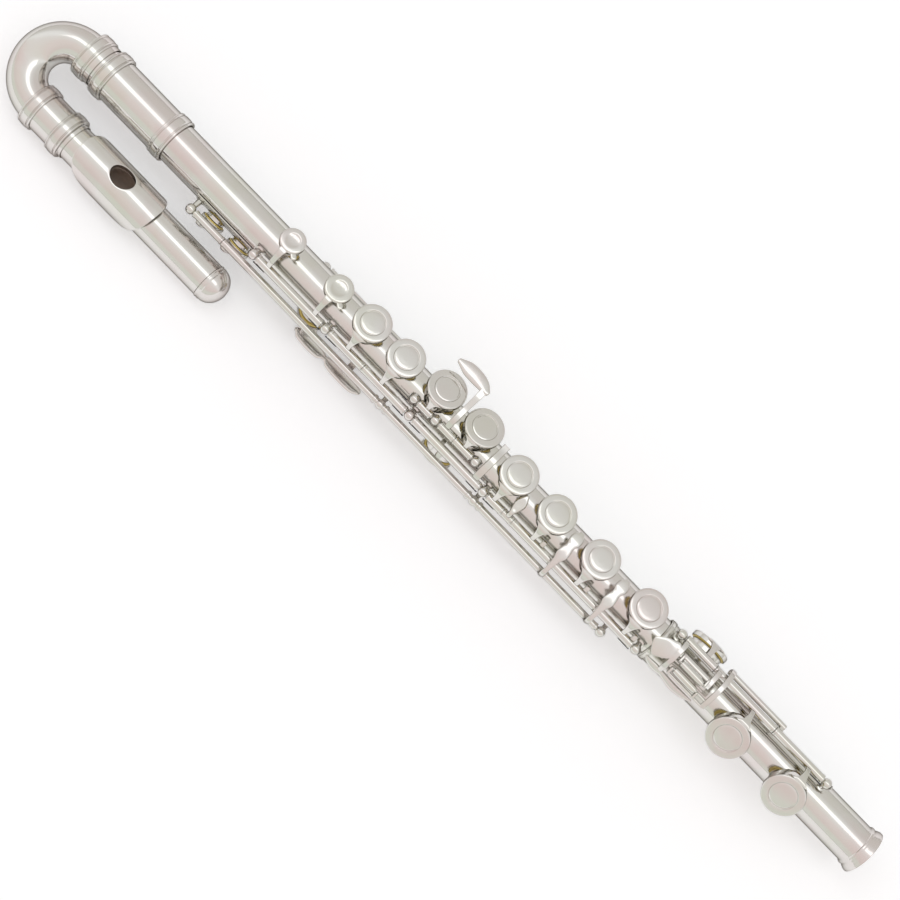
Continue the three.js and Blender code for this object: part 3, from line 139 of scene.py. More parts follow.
# %% Gaps between the cups' edges, down the tube
# Each gap has the name of the cup it leads to.
C_SHARP_GAP, TOUCH_GAP, B_FLAT_GAP, A_GAP = 62.4, 15.85, 5.25, 3.2
UPPER_G_GAP, LOWER_G_GAP, F_SHARP_GAP, F_GAP = 3.8, 4.5, 6.6, 5.5
E_GAP, D_GAP, BODY_TAIL = 9, 11.3, 16.9
D_SHARP_TRILL_GAP, D_TRILL_GAP = 29.6, 3.8
FOOT_OVERLAP, FOOT_STEP, FOOT_TAIL = 12.9, 1.5, 36.4
D_SHARP_FOOT_GAP, C_SHARP_FOOT_GAP, C_FOOT_GAP = 10.6, 10.8, 14.5

# %% Places along the flute
c_sharp_at = BARREL_END + C_SHARP_GAP + SMALL_CUP
c_touch_at = c_sharp_at + SMALL_CUP + TOUCH_GAP + TOUCH_CUP
b_flat_at = c_touch_at + TOUCH_CUP + B_FLAT_GAP + LEFT_CUP
a_at = b_flat_at + 2 * LEFT_CUP + A_GAP
upper_g_at = a_at + LEFT_CUP + UPPER_G_GAP + G_CUP
lower_g_at = upper_g_at + 2 * G_CUP + LOWER_G_GAP
f_sharp_at = lower_g_at + G_CUP + F_SHARP_GAP + RIGHT_CUP
f_at = f_sharp_at + 2 * RIGHT_CUP + F_GAP
e_at = f_at + 2 * RIGHT_CUP + E_GAP
d_at = e_at + 2 * RIGHT_CUP + D_GAP
body_end = d_at + RIGHT_CUP + BODY_TAIL
d_sharp_trill_at = BARREL_END + D_SHARP_TRILL_GAP + TRILL_CUP
d_trill_at = d_sharp_trill_at + 2 * TRILL_CUP + D_TRILL_GAP
thumb_at = c_touch_at - THUMB_SHIFT
g_stem_at = upper_g_at + G_CUP + LOWER_G_GAP / 2
g_sharp_arm_at = g_stem_at + ARM_WIDTH * 1.4
g_sharp_at = g_sharp_arm_at + ARM_THICKNESS
e_lever_at = lower_g_at + G_CUP + F_SHARP_GAP / 2
side_touch_at = f_sharp_at + RIGHT_CUP * 1.03
d_trill_touch_at = f_at + RIGHT_CUP + E_GAP / 2
d_sharp_trill_touch_at = e_at + RIGHT_CUP + D_GAP / 2
foot_start = body_end - FOOT_OVERLAP
foot_socket_end = body_end + FOOT_STEP
d_sharp_foot_at = foot_start + D_SHARP_FOOT_GAP + D_SHARP_CUP
c_sharp_foot_at = d_sharp_foot_at + D_SHARP_CUP + C_SHARP_FOOT_GAP + FOOT_CUP
c_foot_at = c_sharp_foot_at + 2 * FOOT_CUP + C_FOOT_GAP
foot_end = c_foot_at + FOOT_CUP + FOOT_TAIL
print("body ends at", round(body_end, 1), "and the foot at", round(foot_end, 1), "mm")

# %% [markdown]
# Every key turns on a rod that runs along the tube, so a rod needs only two numbers: how far it
# lies from the tube's axis, and in which direction. Arms and touches are given the same way, as an
# angle round the tube and a stand over its surface.

# %% Rods, each a distance and a direction from the tube's axis
MAIN_ROD = (TUBE_RADIUS + 5.7, -38)
TRILL_ROD = (TUBE_RADIUS + 6.8, -67)
G_ROD = (TUBE_RADIUS + 3.7, -13.2)
THUMB_ROD = (TUBE_RADIUS + 5.1, 142)
FOOT_ROD = (TUBE_RADIUS + 5.1, 37)
ROD_RADIUS = 1


def on_rod(rod, x=0):
    """The point of a rod's axis at x."""
    return spot(x, rod[1], 0, rod[0])


def over(x, angle, stand):
    """A point that stands off the tube's surface."""
    return spot(x, angle, 0, TUBE_RADIUS + stand)


def outward(angle):
    """The direction straight out of the tube."""
    return spot(0, angle, 0, 1)


print("main rod", round(MAIN_ROD[0], 1), "mm from the axis, at", MAIN_ROD[1], "degrees")

# %% [markdown]
# A shape is kept as an array of points and a list of faces until its piece is made, so shapes can
# be moved and put together cheaply. Almost all of a flute is turned or drawn, so three tools make
# nearly every piece: a profile spun on a lathe, a section drawn along a path, and a bar that
# changes its width as it bends. Corners of a profile are rounded first, because a polished edge
# catches a thin line of light that a sharp one can't.

# %% Rounded corners and bands of faces
def rounded(profile, radius, closed=False, steps=4):
    """The profile with its corners turned into small curves."""
    points = [Vector(point) for point in profile]
    curved = []
    for i, corner in enumerate(points):
        if not closed and i in (0, len(points) - 1):
            curved.append(tuple(corner))
            continue
        to_before = points[i - 1] - corner
        to_after = points[(i + 1) % len(points)] - corner
        reach = min(radius, to_before.length * 0.45, to_after.length * 0.45)
        start = corner + to_before.normalized() * reach
        end = corner + to_after.normalized() * reach
        for step in range(steps + 1):
            t = step / steps
            curved.append(tuple((1 - t) ** 2 * start + 2 * t * (1 - t) * corner + t**2 * end))
    return curved


def banded(rings, closed=False):
    """Faces between one ring of point numbers and the next. A ring of one point is a pole."""
    pairs = list(zip(rings, rings[1:]))
    if closed:
        pairs.append((rings[-1], rings[0]))
    faces = []
    for low, high in pairs:
        count = max(len(low), len(high))
        for i in range(count):
            j = (i + 1) % count
            below = [low[k % len(low)] for k in (i, j)]
            above = [high[k % len(high)] for k in (j, i)]
            faces.append(list(dict.fromkeys(below + above)))
    return faces

# %% Turned and lofted shapes
POLE = 1e-6


def around(sides):
    """Angles that go once round."""
    return [2 * math.pi * i / sides for i in range(sides)]


def turned(profile, sides, closed=False):
    """A lathe turning: (radius, height) points spun about +Z. A closed profile makes a ring."""
    points, rings = [], []
    for radius, height in profile:
        angles = around(1 if radius < POLE else sides)
        rings.append(list(range(len(points), len(points) + len(angles))))
        points += [(radius * math.cos(a), radius * math.sin(a), height) for a in angles]
    return np.array(points), banded(rings, closed)


def lofted(rings, closed=False):
    """A skin over rings of points, closed on itself or by a face at each end."""
    size = len(rings[0])
    numbers = [list(range(i * size, (i + 1) * size)) for i in range(len(rings))]
    ends = [] if closed else [numbers[0][::-1], numbers[-1]]
    return np.array([point for ring in rings for point in ring]), banded(numbers, closed) + ends

# %% Placing a shape
def moved(shape, matrix):
    """A shape taken along by a matrix."""
    points, faces = shape
    grid = np.array(matrix)
    return points @ grid[:3, :3].T + grid[:3, 3], faces


def standing(shape, x, angle):
    """A shape turned to stand out from the tube."""
    turn = Matrix.Rotation(-math.radians(angle), 4, "X")
    return moved(shape, Matrix.Translation((x, 0, 0)) @ turn)


def lying(shape, y=0, z=0):
    """A shape turned to lie along the tube, its height along x."""
    return moved(shape, Matrix.Translation((0, y, z)) @ Matrix.Rotation(math.pi / 2, 4, "Y"))

# %% Round bars and tubes
def plug(radius, low, high):
    """The profile of a plain solid cylinder."""
    return [(0, low), (radius, low), (radius, high), (0, high)]


def on_line(profile, line, edge, sides, steps=4, closed=False):
    """A turning that lies on a rod's line."""
    middle = on_rod(line)
    return lying(turned(rounded(profile, edge, closed, steps), sides, closed), middle.y, middle.z)


def rod_between(start, end, radius, line, edge=0.15, sides=32):
    """A plain round bar along a rod's line."""
    return on_line(plug(radius, start, end), line, edge, sides)


def turned_tube(profile, edge, y=0, steps=2):
    """A closed profile turned to a length of tube, with its axis at y."""
    return lying(turned(rounded(profile, edge, closed=True, steps=steps), 96, closed=True), y)


def pipe(start, end, outer, y=0):
    """A plain drawn tube."""
    inner = outer - TUBE_WALL
    profile = [(inner, start), (outer, start), (outer, end), (inner, end)]
    return turned_tube(profile, 0.12, y, steps=4)

# %% [markdown]
# An arm or a touch is filed from bar stock and bent by hand. A bevelled curve would be quicker to
# draw, but its section keeps one shape, so here the section is drawn ring by ring: a superellipse,
# nearly square for an arm and a pillow for a touch. Each row of a table is a place where a maker
# would measure the bar, and a smooth run joins them.

# %% Bars that bend and change width
FLAT, PILLOW = 4.5, 2.3
BAR_SIDES, THINNEST = 24, 0.2


def superellipse(angle, power):
    """A point of a section from -1 to 1 each way: square for a high power, round for 2."""
    return [math.copysign(abs(f(angle)) ** (2 / power), f(angle)) for f in (math.cos, math.sin)]


def smooth_run(rows, steps=6):
    """Rows of numbers joined by a smooth curve that passes through each."""
    rows = np.array(rows, float)
    padded = np.vstack([2 * rows[0] - rows[1], rows, 2 * rows[-1] - rows[-2]])
    run = []
    for i in range(1, len(padded) - 2):
        p0, p1, p2, p3 = padded[i - 1 : i + 3]
        for t in np.linspace(0, 1, steps, endpoint=False):
            bend = (2 * p0 - 5 * p1 + 4 * p2 - p3) * t * t + (3 * p1 - p0 - 3 * p2 + p3) * t**3
            run.append((2 * p1 + (p2 - p0) * t + bend) / 2)
    run.append(rows[-1])
    return np.array(run)


def end_cap(end, way):
    """Rows that round a bar off past its end."""
    middle, along, width, thickness = end
    reach = min(width, thickness * 1.6) / 2
    cap = []
    for angle in (30, 55, 75, 86):
        share = math.cos(math.radians(angle))
        out = middle + along * way * reach * math.sin(math.radians(angle))
        cap.append((out, along, width * share, thickness * share))
    return cap


def bar(stations, up, power=FLAT, round_ends=False):
    """A bar through stations (place, width, thickness), with its thickness towards up."""
    run = smooth_run([[*place, width, thickness] for place, width, thickness in stations])
    rows = []
    for i, row in enumerate(run):
        before, after = run[max(i - 1, 0)], run[min(i + 1, len(run) - 1)]
        along = Vector(after[:3] - before[:3]).normalized()
        rows.append((Vector(row[:3]), along, max(row[3], THINNEST), max(row[4], THINNEST)))
    if round_ends:
        rows = end_cap(rows[0], -1)[::-1] + rows + end_cap(rows[-1], 1)
    section = [superellipse(angle, power) for angle in around(BAR_SIDES)]
    rings = []
    for middle, along, width, thickness in rows:
        across = up.cross(along).normalized()
        out = along.cross(across)
        rings.append([middle + across * a * width / 2 + out * b * thickness / 2 for a, b in section])
    return lofted(rings)

# %% [markdown]
# A flute's arms follow its tube, so the rows of an arm are angles round it. A touch is a leaf, the
# same bar with rounded ends, and a rib is a strip of a cylinder's wall.

# %% Arms, touches and plates
def bent_arm(rod, x, stand, width, thickness, rows, power=FLAT, round_ends=False):
    """An arm that leaves a rod and bends round the tube.

    A row is an angle and shares of the stand, the width and the thickness.
    """
    stations = [(on_rod(rod, x), width, thickness)]
    for angle, stand_share, *more in rows:
        wide, thick = (more + [1, 1])[:2]
        stations.append((over(x, angle, stand * stand_share), width * wide, thickness * thick))
    return bar(stations, outward((rod[1] + rows[-1][0]) / 2), power, round_ends)


def leaf(x, length, stand, width, thickness, up, rows):
    """A touch shaped like a leaf.

    A row is an angle and shares of the length, the stand, the width and the thickness.
    """
    stations = [
        (over(x + length * along, angle, stand * high), width * wide, thickness * thick)
        for angle, along, high, wide, thick in rows
    ]
    return bar(stations, outward(up), PILLOW, True)


def curved_plate(start, end, inner, outer, low, high, edge=0.2):
    """A strip of a cylinder's wall between two angles round the tube."""
    section = rounded([(inner, start), (outer, start), (outer, end), (inner, end)], edge, True)
    angles = np.linspace(low, high, max(3, round((high - low) / 3)) + 1)
    return lofted([[spot(x, angle, 0, radius) for radius, x in section] for angle in angles])

# %% [markdown]
# Colours are written as they look on a screen, in sRGB hex, and Blender wants them linear. One
# function turns them, and one adds a node with its settings and links, so each material below reads
# as a short recipe.

# %% Colour and node helpers
def linear(hex_code):
    """An sRGB hex colour as the linear RGBA that Blender's sockets take."""
    channels = [int(hex_code[i : i + 2], 16) / 255 for i in (1, 3, 5)]
    return [c / 12.92 if c <= 0.04045 else ((c + 0.055) / 1.055) ** 2.4 for c in channels] + [1]


def add_node(tree, kind, settings=None, **inputs):
    """A node with its settings, and its inputs set to values or linked from other nodes' outputs."""
    node = tree.nodes.new(kind)
    for name, value in (settings or {}).items():
        setattr(node, name, value)
    for name, value in inputs.items():
        key = int(name[1:]) if name[0] == "i" and name[1:].isdigit() else name.replace("_", " ")
        if isinstance(value, bpy.types.NodeSocket):
            tree.links.new(value, node.inputs[key])
        else:
            node.inputs[key].default_value = value
    return node


def new_material(name):
    """An empty material, its node tree, and the place on the object in metres."""
    material = bpy.data.materials.new(name)
    material.use_nodes = True
    tree = material.node_tree
    tree.nodes.clear()
    return material, tree, add_node(tree, "ShaderNodeTexCoord").outputs["Object"]


def finished(material, shader):
    """The material with its shader on its output."""
    add_node(material.node_tree, "ShaderNodeOutputMaterial", Surface=shader.outputs[0])
    print("finish", material.name)
    return material

# %% [markdown]
# Silver plate on brass, buffed. It is a true metal, so its colour is in its reflection: a very pale
# warm grey. What keeps it from looking like a mirror is the buffing, which leaves hair lines half a
# millimetre apart and faint clouds, about 20 mm across, of a slightly different polish, some a
# little pink and some a little green. A pattern's scale is how often it repeats in a metre, so 1800
# is the hair lines and 45 is the clouds.

# %% Silver plate
def buffed_silver():
    material, tree, place = new_material("buffed_silver_plate")
    clouds = add_node(tree, "ShaderNodeTexNoise", Vector=place, Scale=45, Detail=3, Roughness=0.5)
    tint = add_node(tree, "ShaderNodeValToRGB", i0=clouds.outputs["Fac"])
    ramp = tint.color_ramp
    ramp.elements[0].position, ramp.elements[0].color = 0.35, linear("#DDDCD4")
    ramp.elements[1].position, ramp.elements[1].color = 0.65, linear("#DFD8D5")
    ramp.elements.new(0.5).color = linear("#E0DEDA")
    hairs = add_node(tree, "ShaderNodeTexNoise", Vector=place, Scale=1800, Detail=2, Roughness=0.6)
    bump = add_node(
        tree, "ShaderNodeBump", Strength=0.04, Distance=0.00004, Height=hairs.outputs["Fac"]
    )
    polish = add_node(
        tree, "ShaderNodeMapRange",
        Value=clouds.outputs["Fac"], From_Min=0.3, From_Max=0.7, To_Min=0.1, To_Max=0.17,
    )
    shader = add_node(
        tree, "ShaderNodeBsdfPrincipled",
        Base_Color=tint.outputs["Color"], Metallic=1, Specular_Tint=linear("#8A8782"),
        Roughness=polish.outputs["Result"], Normal=bump.outputs["Normal"],
    )
    return finished(material, shader)


SILVER = buffed_silver()

# %% [markdown]
# Inside a bore nobody buffs: the drawn tube keeps its fine scratches. Its colour is a dull warm
# brownish grey, varied in spots of about 6 mm. It scatters light, so the blowing hole looks into a
# dim brown hollow and not a black one.

# %% Dull bore
def dull_bore():
    material, tree, place = new_material("drawn_tube_bore")
    # Spots of a darker and a lighter brownish grey, about 6 mm across.
    bore_spots = add_node(tree, "ShaderNodeTexNoise", Vector=place, Scale=160, Detail=4)
    colour = add_node(
        tree, "ShaderNodeMix", {"data_type": "RGBA"},
        i0=bore_spots.outputs["Fac"], i6=linear("#C6B3A4"), i7=linear("#E6D9CE"),
    )
    shader = add_node(
        tree, "ShaderNodeBsdfPrincipled", Base_Color=colour.outputs[2], Metallic=0.35, Roughness=0.55
    )
    return finished(material, shader)


BORE = dull_bore()

# %% [markdown]
# The two steels. Rods are ground round, which leaves a fine grain of about a millimetre in the
# polish. Springs and adjusting screws are hardened and blued in heat, in faint spots of 3 mm, so
# they read as thin dark lines and dots.

# %% Ground and blued steel
def ground_steel():
    material, tree, place = new_material("ground_steel")
    grain = add_node(tree, "ShaderNodeTexNoise", Vector=place, Scale=900, Detail=3)
    rough = add_node(
        tree, "ShaderNodeMapRange", Value=grain.outputs["Fac"], To_Min=0.18, To_Max=0.34
    )
    shader = add_node(
        tree, "ShaderNodeBsdfPrincipled",
        Base_Color=linear("#C9C8C4"), Metallic=1, Roughness=rough.outputs["Result"],
    )
    return finished(material, shader)


def blued_steel():
    material, tree, place = new_material("blued_spring_steel")
    heat = add_node(tree, "ShaderNodeTexNoise", Vector=place, Scale=300, Detail=2)
    colour = add_node(
        tree, "ShaderNodeMix", {"data_type": "RGBA"},
        i0=heat.outputs["Fac"], i6=linear("#3B3F4A"), i7=linear("#565450"),
    )
    shader = add_node(
        tree, "ShaderNodeBsdfPrincipled", Base_Color=colour.outputs[2], Metallic=1, Roughness=0.35
    )
    return finished(material, shader)


STEEL, BLUED = ground_steel(), blued_steel()

# %% [markdown]
# A pad is a felt disc under a thin yellow skin that is slightly glossy and puckered, 2 or 3 mm from
# pucker to pucker. Real skin is finer, but it would not show from here.

# %% Pad skin
def pad_skin():
    material, tree, place = new_material("yellow_pad_skin")
    puckers = add_node(tree, "ShaderNodeTexNoise", Vector=place, Scale=420, Detail=4)
    colour = add_node(
        tree, "ShaderNodeMix", {"data_type": "RGBA"},
        i0=puckers.outputs["Fac"], i6=linear("#E3C55C"), i7=linear("#F6E49A"),
    )
    bump = add_node(
        tree, "ShaderNodeBump", Strength=0.35, Distance=0.0001, Height=puckers.outputs["Fac"]
    )
    shader = add_node(
        tree, "ShaderNodeBsdfPrincipled",
        Base_Color=colour.outputs[2], Roughness=0.42, Normal=bump.outputs["Normal"],
    )
    return finished(material, shader)


SKIN = pad_skin()

# %% [markdown]
# The stopper in the head is cork, with cells a little over a millimetre across, and its screw is
# brass turned on a lathe, with tool marks half a millimetre apart. Both are inside, so the CAD
# solids keep their shapes and take a finish.

# %% Cork and brass
def head_cork():
    material, tree, place = new_material("head_cork")
    cells = add_node(tree, "ShaderNodeTexVoronoi", Vector=place, Scale=900)
    colour = add_node(
        tree, "ShaderNodeMix", {"data_type": "RGBA"},
        i0=cells.outputs["Distance"], i6=linear("#8E6A41"), i7=linear("#C79F6C"),
    )
    shader = add_node(tree, "ShaderNodeBsdfPrincipled", Base_Color=colour.outputs[2], Roughness=0.85)
    return finished(material, shader)


def turned_brass():
    material, tree, place = new_material("turned_brass")
    rings = add_node(
        tree, "ShaderNodeTexWave", {"bands_direction": "X"},
        Vector=place, Scale=600, Distortion=1.5, Detail=2,
    )
    rough = add_node(tree, "ShaderNodeMapRange", Value=rings.outputs["Fac"], To_Min=0.25, To_Max=0.4)
    shader = add_node(
        tree, "ShaderNodeBsdfPrincipled",
        Base_Color=linear("#C9A765"), Metallic=1, Roughness=rough.outputs["Result"],
    )
    return finished(material, shader)


for carried, finish in (("head_cork", head_cork()), ("cork_screw", turned_brass())):
    for slot in frame["nodes"][carried].material_slots:
        slot.material = finish

# %% [markdown]
# One function makes a piece: it gathers shapes, swings them with their key if the key stands open,
# takes them to the scene, gives the piece its finish and its body, and hides the CAD nodes that it
# stands for. Normals are weighted by the size of their faces, so flats stay flat in a reflection and
# only the small curves at the edges turn the light.

# %% Meshes, and tubes cut and lined
def swing(rod, lift):
    """The turn about a rod that opens a key."""
    middle = on_rod(rod)
    turn = Matrix.Rotation(math.radians(lift), 4, "X")
    return Matrix.Translation(middle) @ turn @ Matrix.Translation(-middle)


def mesh_of(name, shapes, matrix):
    """One mesh of several closed shapes, each facing out."""
    points, faces = [], []
    for shape_points, shape_faces in shapes:
        faces += [[corner + len(points) for corner in face] for face in shape_faces]
        points += [matrix @ Vector(point) for point in shape_points]
    mesh = bpy.data.meshes.new(name)
    mesh.from_pydata(points, [], faces)
    work = bmesh.new()
    work.from_mesh(mesh)
    bmesh.ops.recalc_face_normals(work, faces=work.faces)
    work.to_mesh(mesh)
    work.free()
    return mesh


def drilled(mesh, cutters, matrix):
    """The mesh with cutters taken out of it."""
    held = bpy.data.objects.new("held", mesh)
    tool = bpy.data.objects.new("tool", mesh_of("tool", cutters, matrix))
    for obj in (held, tool):
        bpy.context.scene.collection.objects.link(obj)
    cut = held.modifiers.new("cut", "BOOLEAN")
    cut.operation, cut.solver, cut.object = "DIFFERENCE", "EXACT", tool
    done = bpy.data.meshes.new_from_object(held.evaluated_get(bpy.context.evaluated_depsgraph_get()))
    for obj in (held, tool):
        bpy.data.objects.remove(obj)
    return done


def line_bore(mesh, leg, radius):
    """Give the faces inside a tube, nearer its axis than radius, the finish of a bore."""
    mesh.materials.append(BORE)
    back = LAY.inverted()
    for face in mesh.polygons:
        middle = back @ face.center
        if math.hypot(middle.y - leg, middle.z) < radius:
            face.material_index = 1

# %% Making a piece
SMOOTH_BELOW = math.radians(35)


def make(
    name, body, shapes, finish=SILVER, stands_for=(), slot="silver_plate", opened=None,
    cutters=(), bore=None,
):
    """A finished piece that rides on a body and stands for CAD nodes."""
    matrix = LAY @ swing(*opened) if opened else LAY
    mesh = mesh_of(name, shapes, matrix)
    if cutters:
        mesh = drilled(mesh, cutters, matrix)
    mesh.polygons.foreach_set("use_smooth", [True] * len(mesh.polygons))
    mesh.set_sharp_from_angle(angle=SMOOTH_BELOW)
    obj = bpy.data.objects.new(name, mesh)
    bpy.context.scene.collection.objects.link(obj)
    obj.modifiers.new("weighted", "WEIGHTED_NORMAL").keep_sharp = True
    obj.data.materials.clear()
    obj.data.materials.append(finish)
    if bore:
        line_bore(obj.data, *bore)
    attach(obj, body)
    if stands_for:
        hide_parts(*stands_for)
    print(name, "on", body, len(obj.data.polygons), "faces")
    return obj


def plated(node, body, shapes, **more):
    """A silver plated piece in place of the CAD node of its name."""
    return make("plated_" + node, body, shapes, stands_for=[node], **more)

# %% [markdown]
# The body tube is drawn tube with its tone holes pulled up into short chimneys, whose rolled lips
# the pads close on. The tube is cut with round cutters, and each chimney is a turned ring that
# stands in its hole.

# %% Tone holes and the body tube
RIM_TOP, TRILL_RIM_TOP = TUBE_RADIUS + 2.6, TUBE_RADIUS + 1.5
HOLE_SIDES = 48
BODY_HOLES = [
    (c_sharp_at, KEY_LINE, SMALL_CUP),
    (b_flat_at, KEY_LINE, LEFT_CUP),
    (a_at, KEY_LINE, LEFT_CUP),
    (upper_g_at, G_LINE, G_CUP),
    (lower_g_at, G_LINE, G_CUP),
    *[(at, KEY_LINE, RIGHT_CUP) for at in (f_sharp_at, f_at, e_at, d_at)],
    (g_sharp_at, G_SHARP_LINE, G_SHARP_CUP),
    (thumb_at, THUMB_LINE, LEFT_CUP),
    (d_sharp_trill_at, TRILL_LINE, TRILL_CUP, TRILL_RIM_TOP),
    (d_trill_at, TRILL_LINE, TRILL_CUP, TRILL_RIM_TOP),
]
FOOT_HOLES = [
    (d_sharp_foot_at, D_SHARP_LINE, D_SHARP_CUP),
    (c_sharp_foot_at, FOOT_LINE, FOOT_CUP),
    (c_foot_at, FOOT_LINE, FOOT_CUP),
]


def chimney(x, angle, cup_radius, rim=RIM_TOP):
    """A short ring that stands in a tone hole, with its lip a little thicker."""
    inner = cup_radius - HOLE_INSET
    outer = inner + RIM_WALL
    low = TUBE_RADIUS * 0.72
    profile = [(inner, low), (outer, low), (outer, rim - 0.5), (outer + 0.12, rim), (inner, rim)]
    shape = turned(rounded(profile, 0.14, closed=True), HOLE_SIDES, closed=True)
    return standing(shape, x, angle)


def hole_cutter(x, angle, cup_radius, rim=RIM_TOP):
    radius = cup_radius - HOLE_INSET + RIM_WALL / 2
    return standing(turned(plug(radius, 0, rim + 2), HOLE_SIDES), x, angle)


def with_holes(node, body, shape, holes):
    """A tube with its tone holes cut and lined, and its chimneys."""
    cutters = [hole_cutter(*hole) for hole in holes]
    plated(node, body, [shape], cutters=cutters, bore=(0, TUBE_RADIUS - TUBE_WALL / 2))


TENON_END, TENON_PLAY = 24, 2
body_pipe = pipe(TENON_END + TENON_PLAY, body_end, TUBE_RADIUS)
with_holes("body_tube", "body_joint", body_pipe, BODY_HOLES)
make("plated_chimneys", "body_joint", [chimney(*hole) for hole in BODY_HOLES])

# %% [markdown]
# The rings on barrel, ferrules and sockets are turned in steps: a full bead between two thin ones,
# with sharp grooves that read as dark lines. One function gives that profile for any ring.

# %% Turned rings
HALF_RING = [
    (0, 0), (0.01, 0.6), (0.07, 0.86), (0.13, 0.86), (0.17, 0.45), (0.22, 0.45), (0.26, 0.9),
    (0.36, 1),
]


def ring_profile(start, end, wall, stand):
    """Points of a stepped ring: a narrow bead, a groove, a full bead, a groove and a narrow bead."""
    width = end - start
    mirrored = [(1 - along, out) for along, out in reversed(HALF_RING)]
    rows = HALF_RING + [(0.5, 1.0)] + mirrored
    return [(wall + stand * out, start + width * along) for along, out in rows]


def barrel():
    wall = SOCKET_RADIUS + SOCKET_WALL
    profile = [
        (SOCKET_RADIUS, 0.0),
        *ring_profile(0.0, 6.5, wall, 1.35),
        *ring_profile(BARREL_END - 7, BARREL_END, wall, 0.85),
        (SOCKET_RADIUS, BARREL_END),
    ]
    return turned_tube(profile, 0.12)


FOOT_RING = [(0, 0), (0.55, 0.35), (0.75, 1.0), (0.5, 1.7), (0.55, 2.3), (1.1, 3.4), (1.5, 4.3)]


def foot_tube():
    wall = SOCKET_RADIUS + SOCKET_WALL
    bore = TUBE_RADIUS - TUBE_WALL
    seat_end = body_end + END_GAP
    end_ring = foot_end - 5.4
    profile = [
        (SOCKET_RADIUS, foot_start),
        *ring_profile(foot_start, foot_start + 3, wall, 0.6),
        (wall, foot_socket_end - 0.45),
        (TUBE_RADIUS, foot_socket_end),
        *[(TUBE_RADIUS + out, end_ring + along) for out, along in FOOT_RING],
        (TUBE_RADIUS + FOOT_RING[-1][0], foot_end),
        (bore, foot_end),
        (bore, seat_end),
        (SOCKET_RADIUS, seat_end),
    ]
    return turned_tube(profile, 0.25, steps=3)


plated("barrel", "body_joint", [barrel()])
with_holes("foot_tube", "foot_joint", foot_tube(), FOOT_HOLES)
make("plated_foot_chimneys", "foot_joint", [chimney(*hole) for hole in FOOT_HOLES])

# %% [markdown]
# The head joint. Its bend is one tube pulled round a half circle, so a ring of points is carried
# along that path. The two ferrules step from the bend's tube to the next one, and the crown screws
# into the far end.

# %% U bend
BEND_SETBACK, BEND_STUB = 10.6, 3.6


def bend_place(share):
    """Where the bend's centre line is and which way it runs, from the body to the mouthpiece."""
    radius = -LEG / 2
    arc = math.pi * radius
    at = share * (arc + 2 * BEND_STUB)
    past = at - BEND_STUB - arc
    if at < BEND_STUB:
        return Vector((BEND_STUB - at - BEND_SETBACK, 0, 0)), Vector((-1, 0, 0))
    if past > 0:
        return Vector((past - BEND_SETBACK, LEG, 0)), Vector((1, 0, 0))
    angle = (at - BEND_STUB) / radius
    middle = Vector((-BEND_SETBACK - radius * math.sin(angle), radius * (math.cos(angle) - 1), 0))
    return middle, Vector((-math.cos(angle), -math.sin(angle), 0))


def u_bend(steps=72, sides=72):
    stations = [(share / steps, BEND_RADIUS) for share in range(steps + 1)]
    stations += [(1 - share / steps, BEND_RADIUS - TUBE_WALL) for share in range(steps + 1)]
    up = Vector((0, 0, 1))
    rings = []
    for share, radius in stations:
        middle, along = bend_place(share)
        side = along.cross(up)
        rings.append(
            [middle + (side * math.cos(a) + up * math.sin(a)) * radius for a in around(sides)]
        )
    return lofted(rings, closed=True)


plated("u_bend", "head_joint", [u_bend()])

# %% [markdown]
# A ferrule is a sleeve soldered over the joint of two tubes, stepped inside to fit both. Its beads
# are turned with it, so it is one closed profile on the lathe.

# %% Ferrules
def bend_ferrule():
    inner, start, end, step = BEND_RADIUS + 0.2, -10.9, -1.7, -6.5
    wall = SOCKET_RADIUS + 0.4
    profile = [
        (inner, start),
        *ring_profile(start, start + 6.6, wall, 0.85),
        (wall, end),
        (SOCKET_RADIUS, end),
        (SOCKET_RADIUS, step),
        (inner, step),
    ]
    return turned_tube(profile, 0.1)


def mouthpiece_ferrule():
    inner, narrow = BEND_RADIUS + 0.2, MOUTHPIECE_RADIUS + 0.1
    wall = inner + 0.45
    start, step, ring, stand = -11.7, -1.9, 6.4, 1.25
    end = start + 24.7
    last = end - 1.8
    profile = [
        (inner, start),
        *ring_profile(start, start + ring, wall, stand),
        *ring_profile(last - ring, last, wall, stand),
        (narrow + 0.45, last + 0.2),
        (narrow + 0.45, end),
        (narrow, end),
        (narrow, step),
        (inner, step),
    ]
    return turned_tube(profile, 0.12, LEG)


plated("bend_ferrule", "head_joint", [bend_ferrule()])
plated("mouthpiece_ferrule", "head_joint", [mouthpiece_ferrule()])

# %% [markdown]
# The blowing hole is an oval. Its cutter is a straight prism, and the lip plate needs the same oval
# drawn on a cylinder round the mouthpiece.

# %% Blowing hole, mouthpiece tube and tenon
EMBOUCHURE_AT, EMBOUCHURE_LENGTH, EMBOUCHURE_WIDTH = 40.3, 12.3, 9.8


def mouth_spot(x, angle, across, out):
    """A point round the mouthpiece leg, at x from the middle of the blowing hole."""
    return spot(EMBOUCHURE_AT + x, angle, across, out) + Vector((0, LEG, 0))


def oval_ring(length, width, radius, sides):
    """Points of an oval on a cylinder. Width is as seen along the blowing hole."""
    ring = []
    for angle in around(sides):
        across = width / 2 * math.sin(angle)
        out = math.sqrt(max(radius**2 - across**2, 0))
        ring.append(mouth_spot(length / 2 * math.cos(angle), KEY_LINE, across, out))
    return ring


def oval_cutter():
    rings = []
    for out in (4, MOUTHPIECE_RADIUS + 3):
        ring = []
        for angle in around(48):
            x = EMBOUCHURE_LENGTH / 2 * math.cos(angle)
            ring.append(mouth_spot(x, KEY_LINE, EMBOUCHURE_WIDTH / 2 * math.sin(angle), out))
        rings.append(ring)
    return lofted(rings)


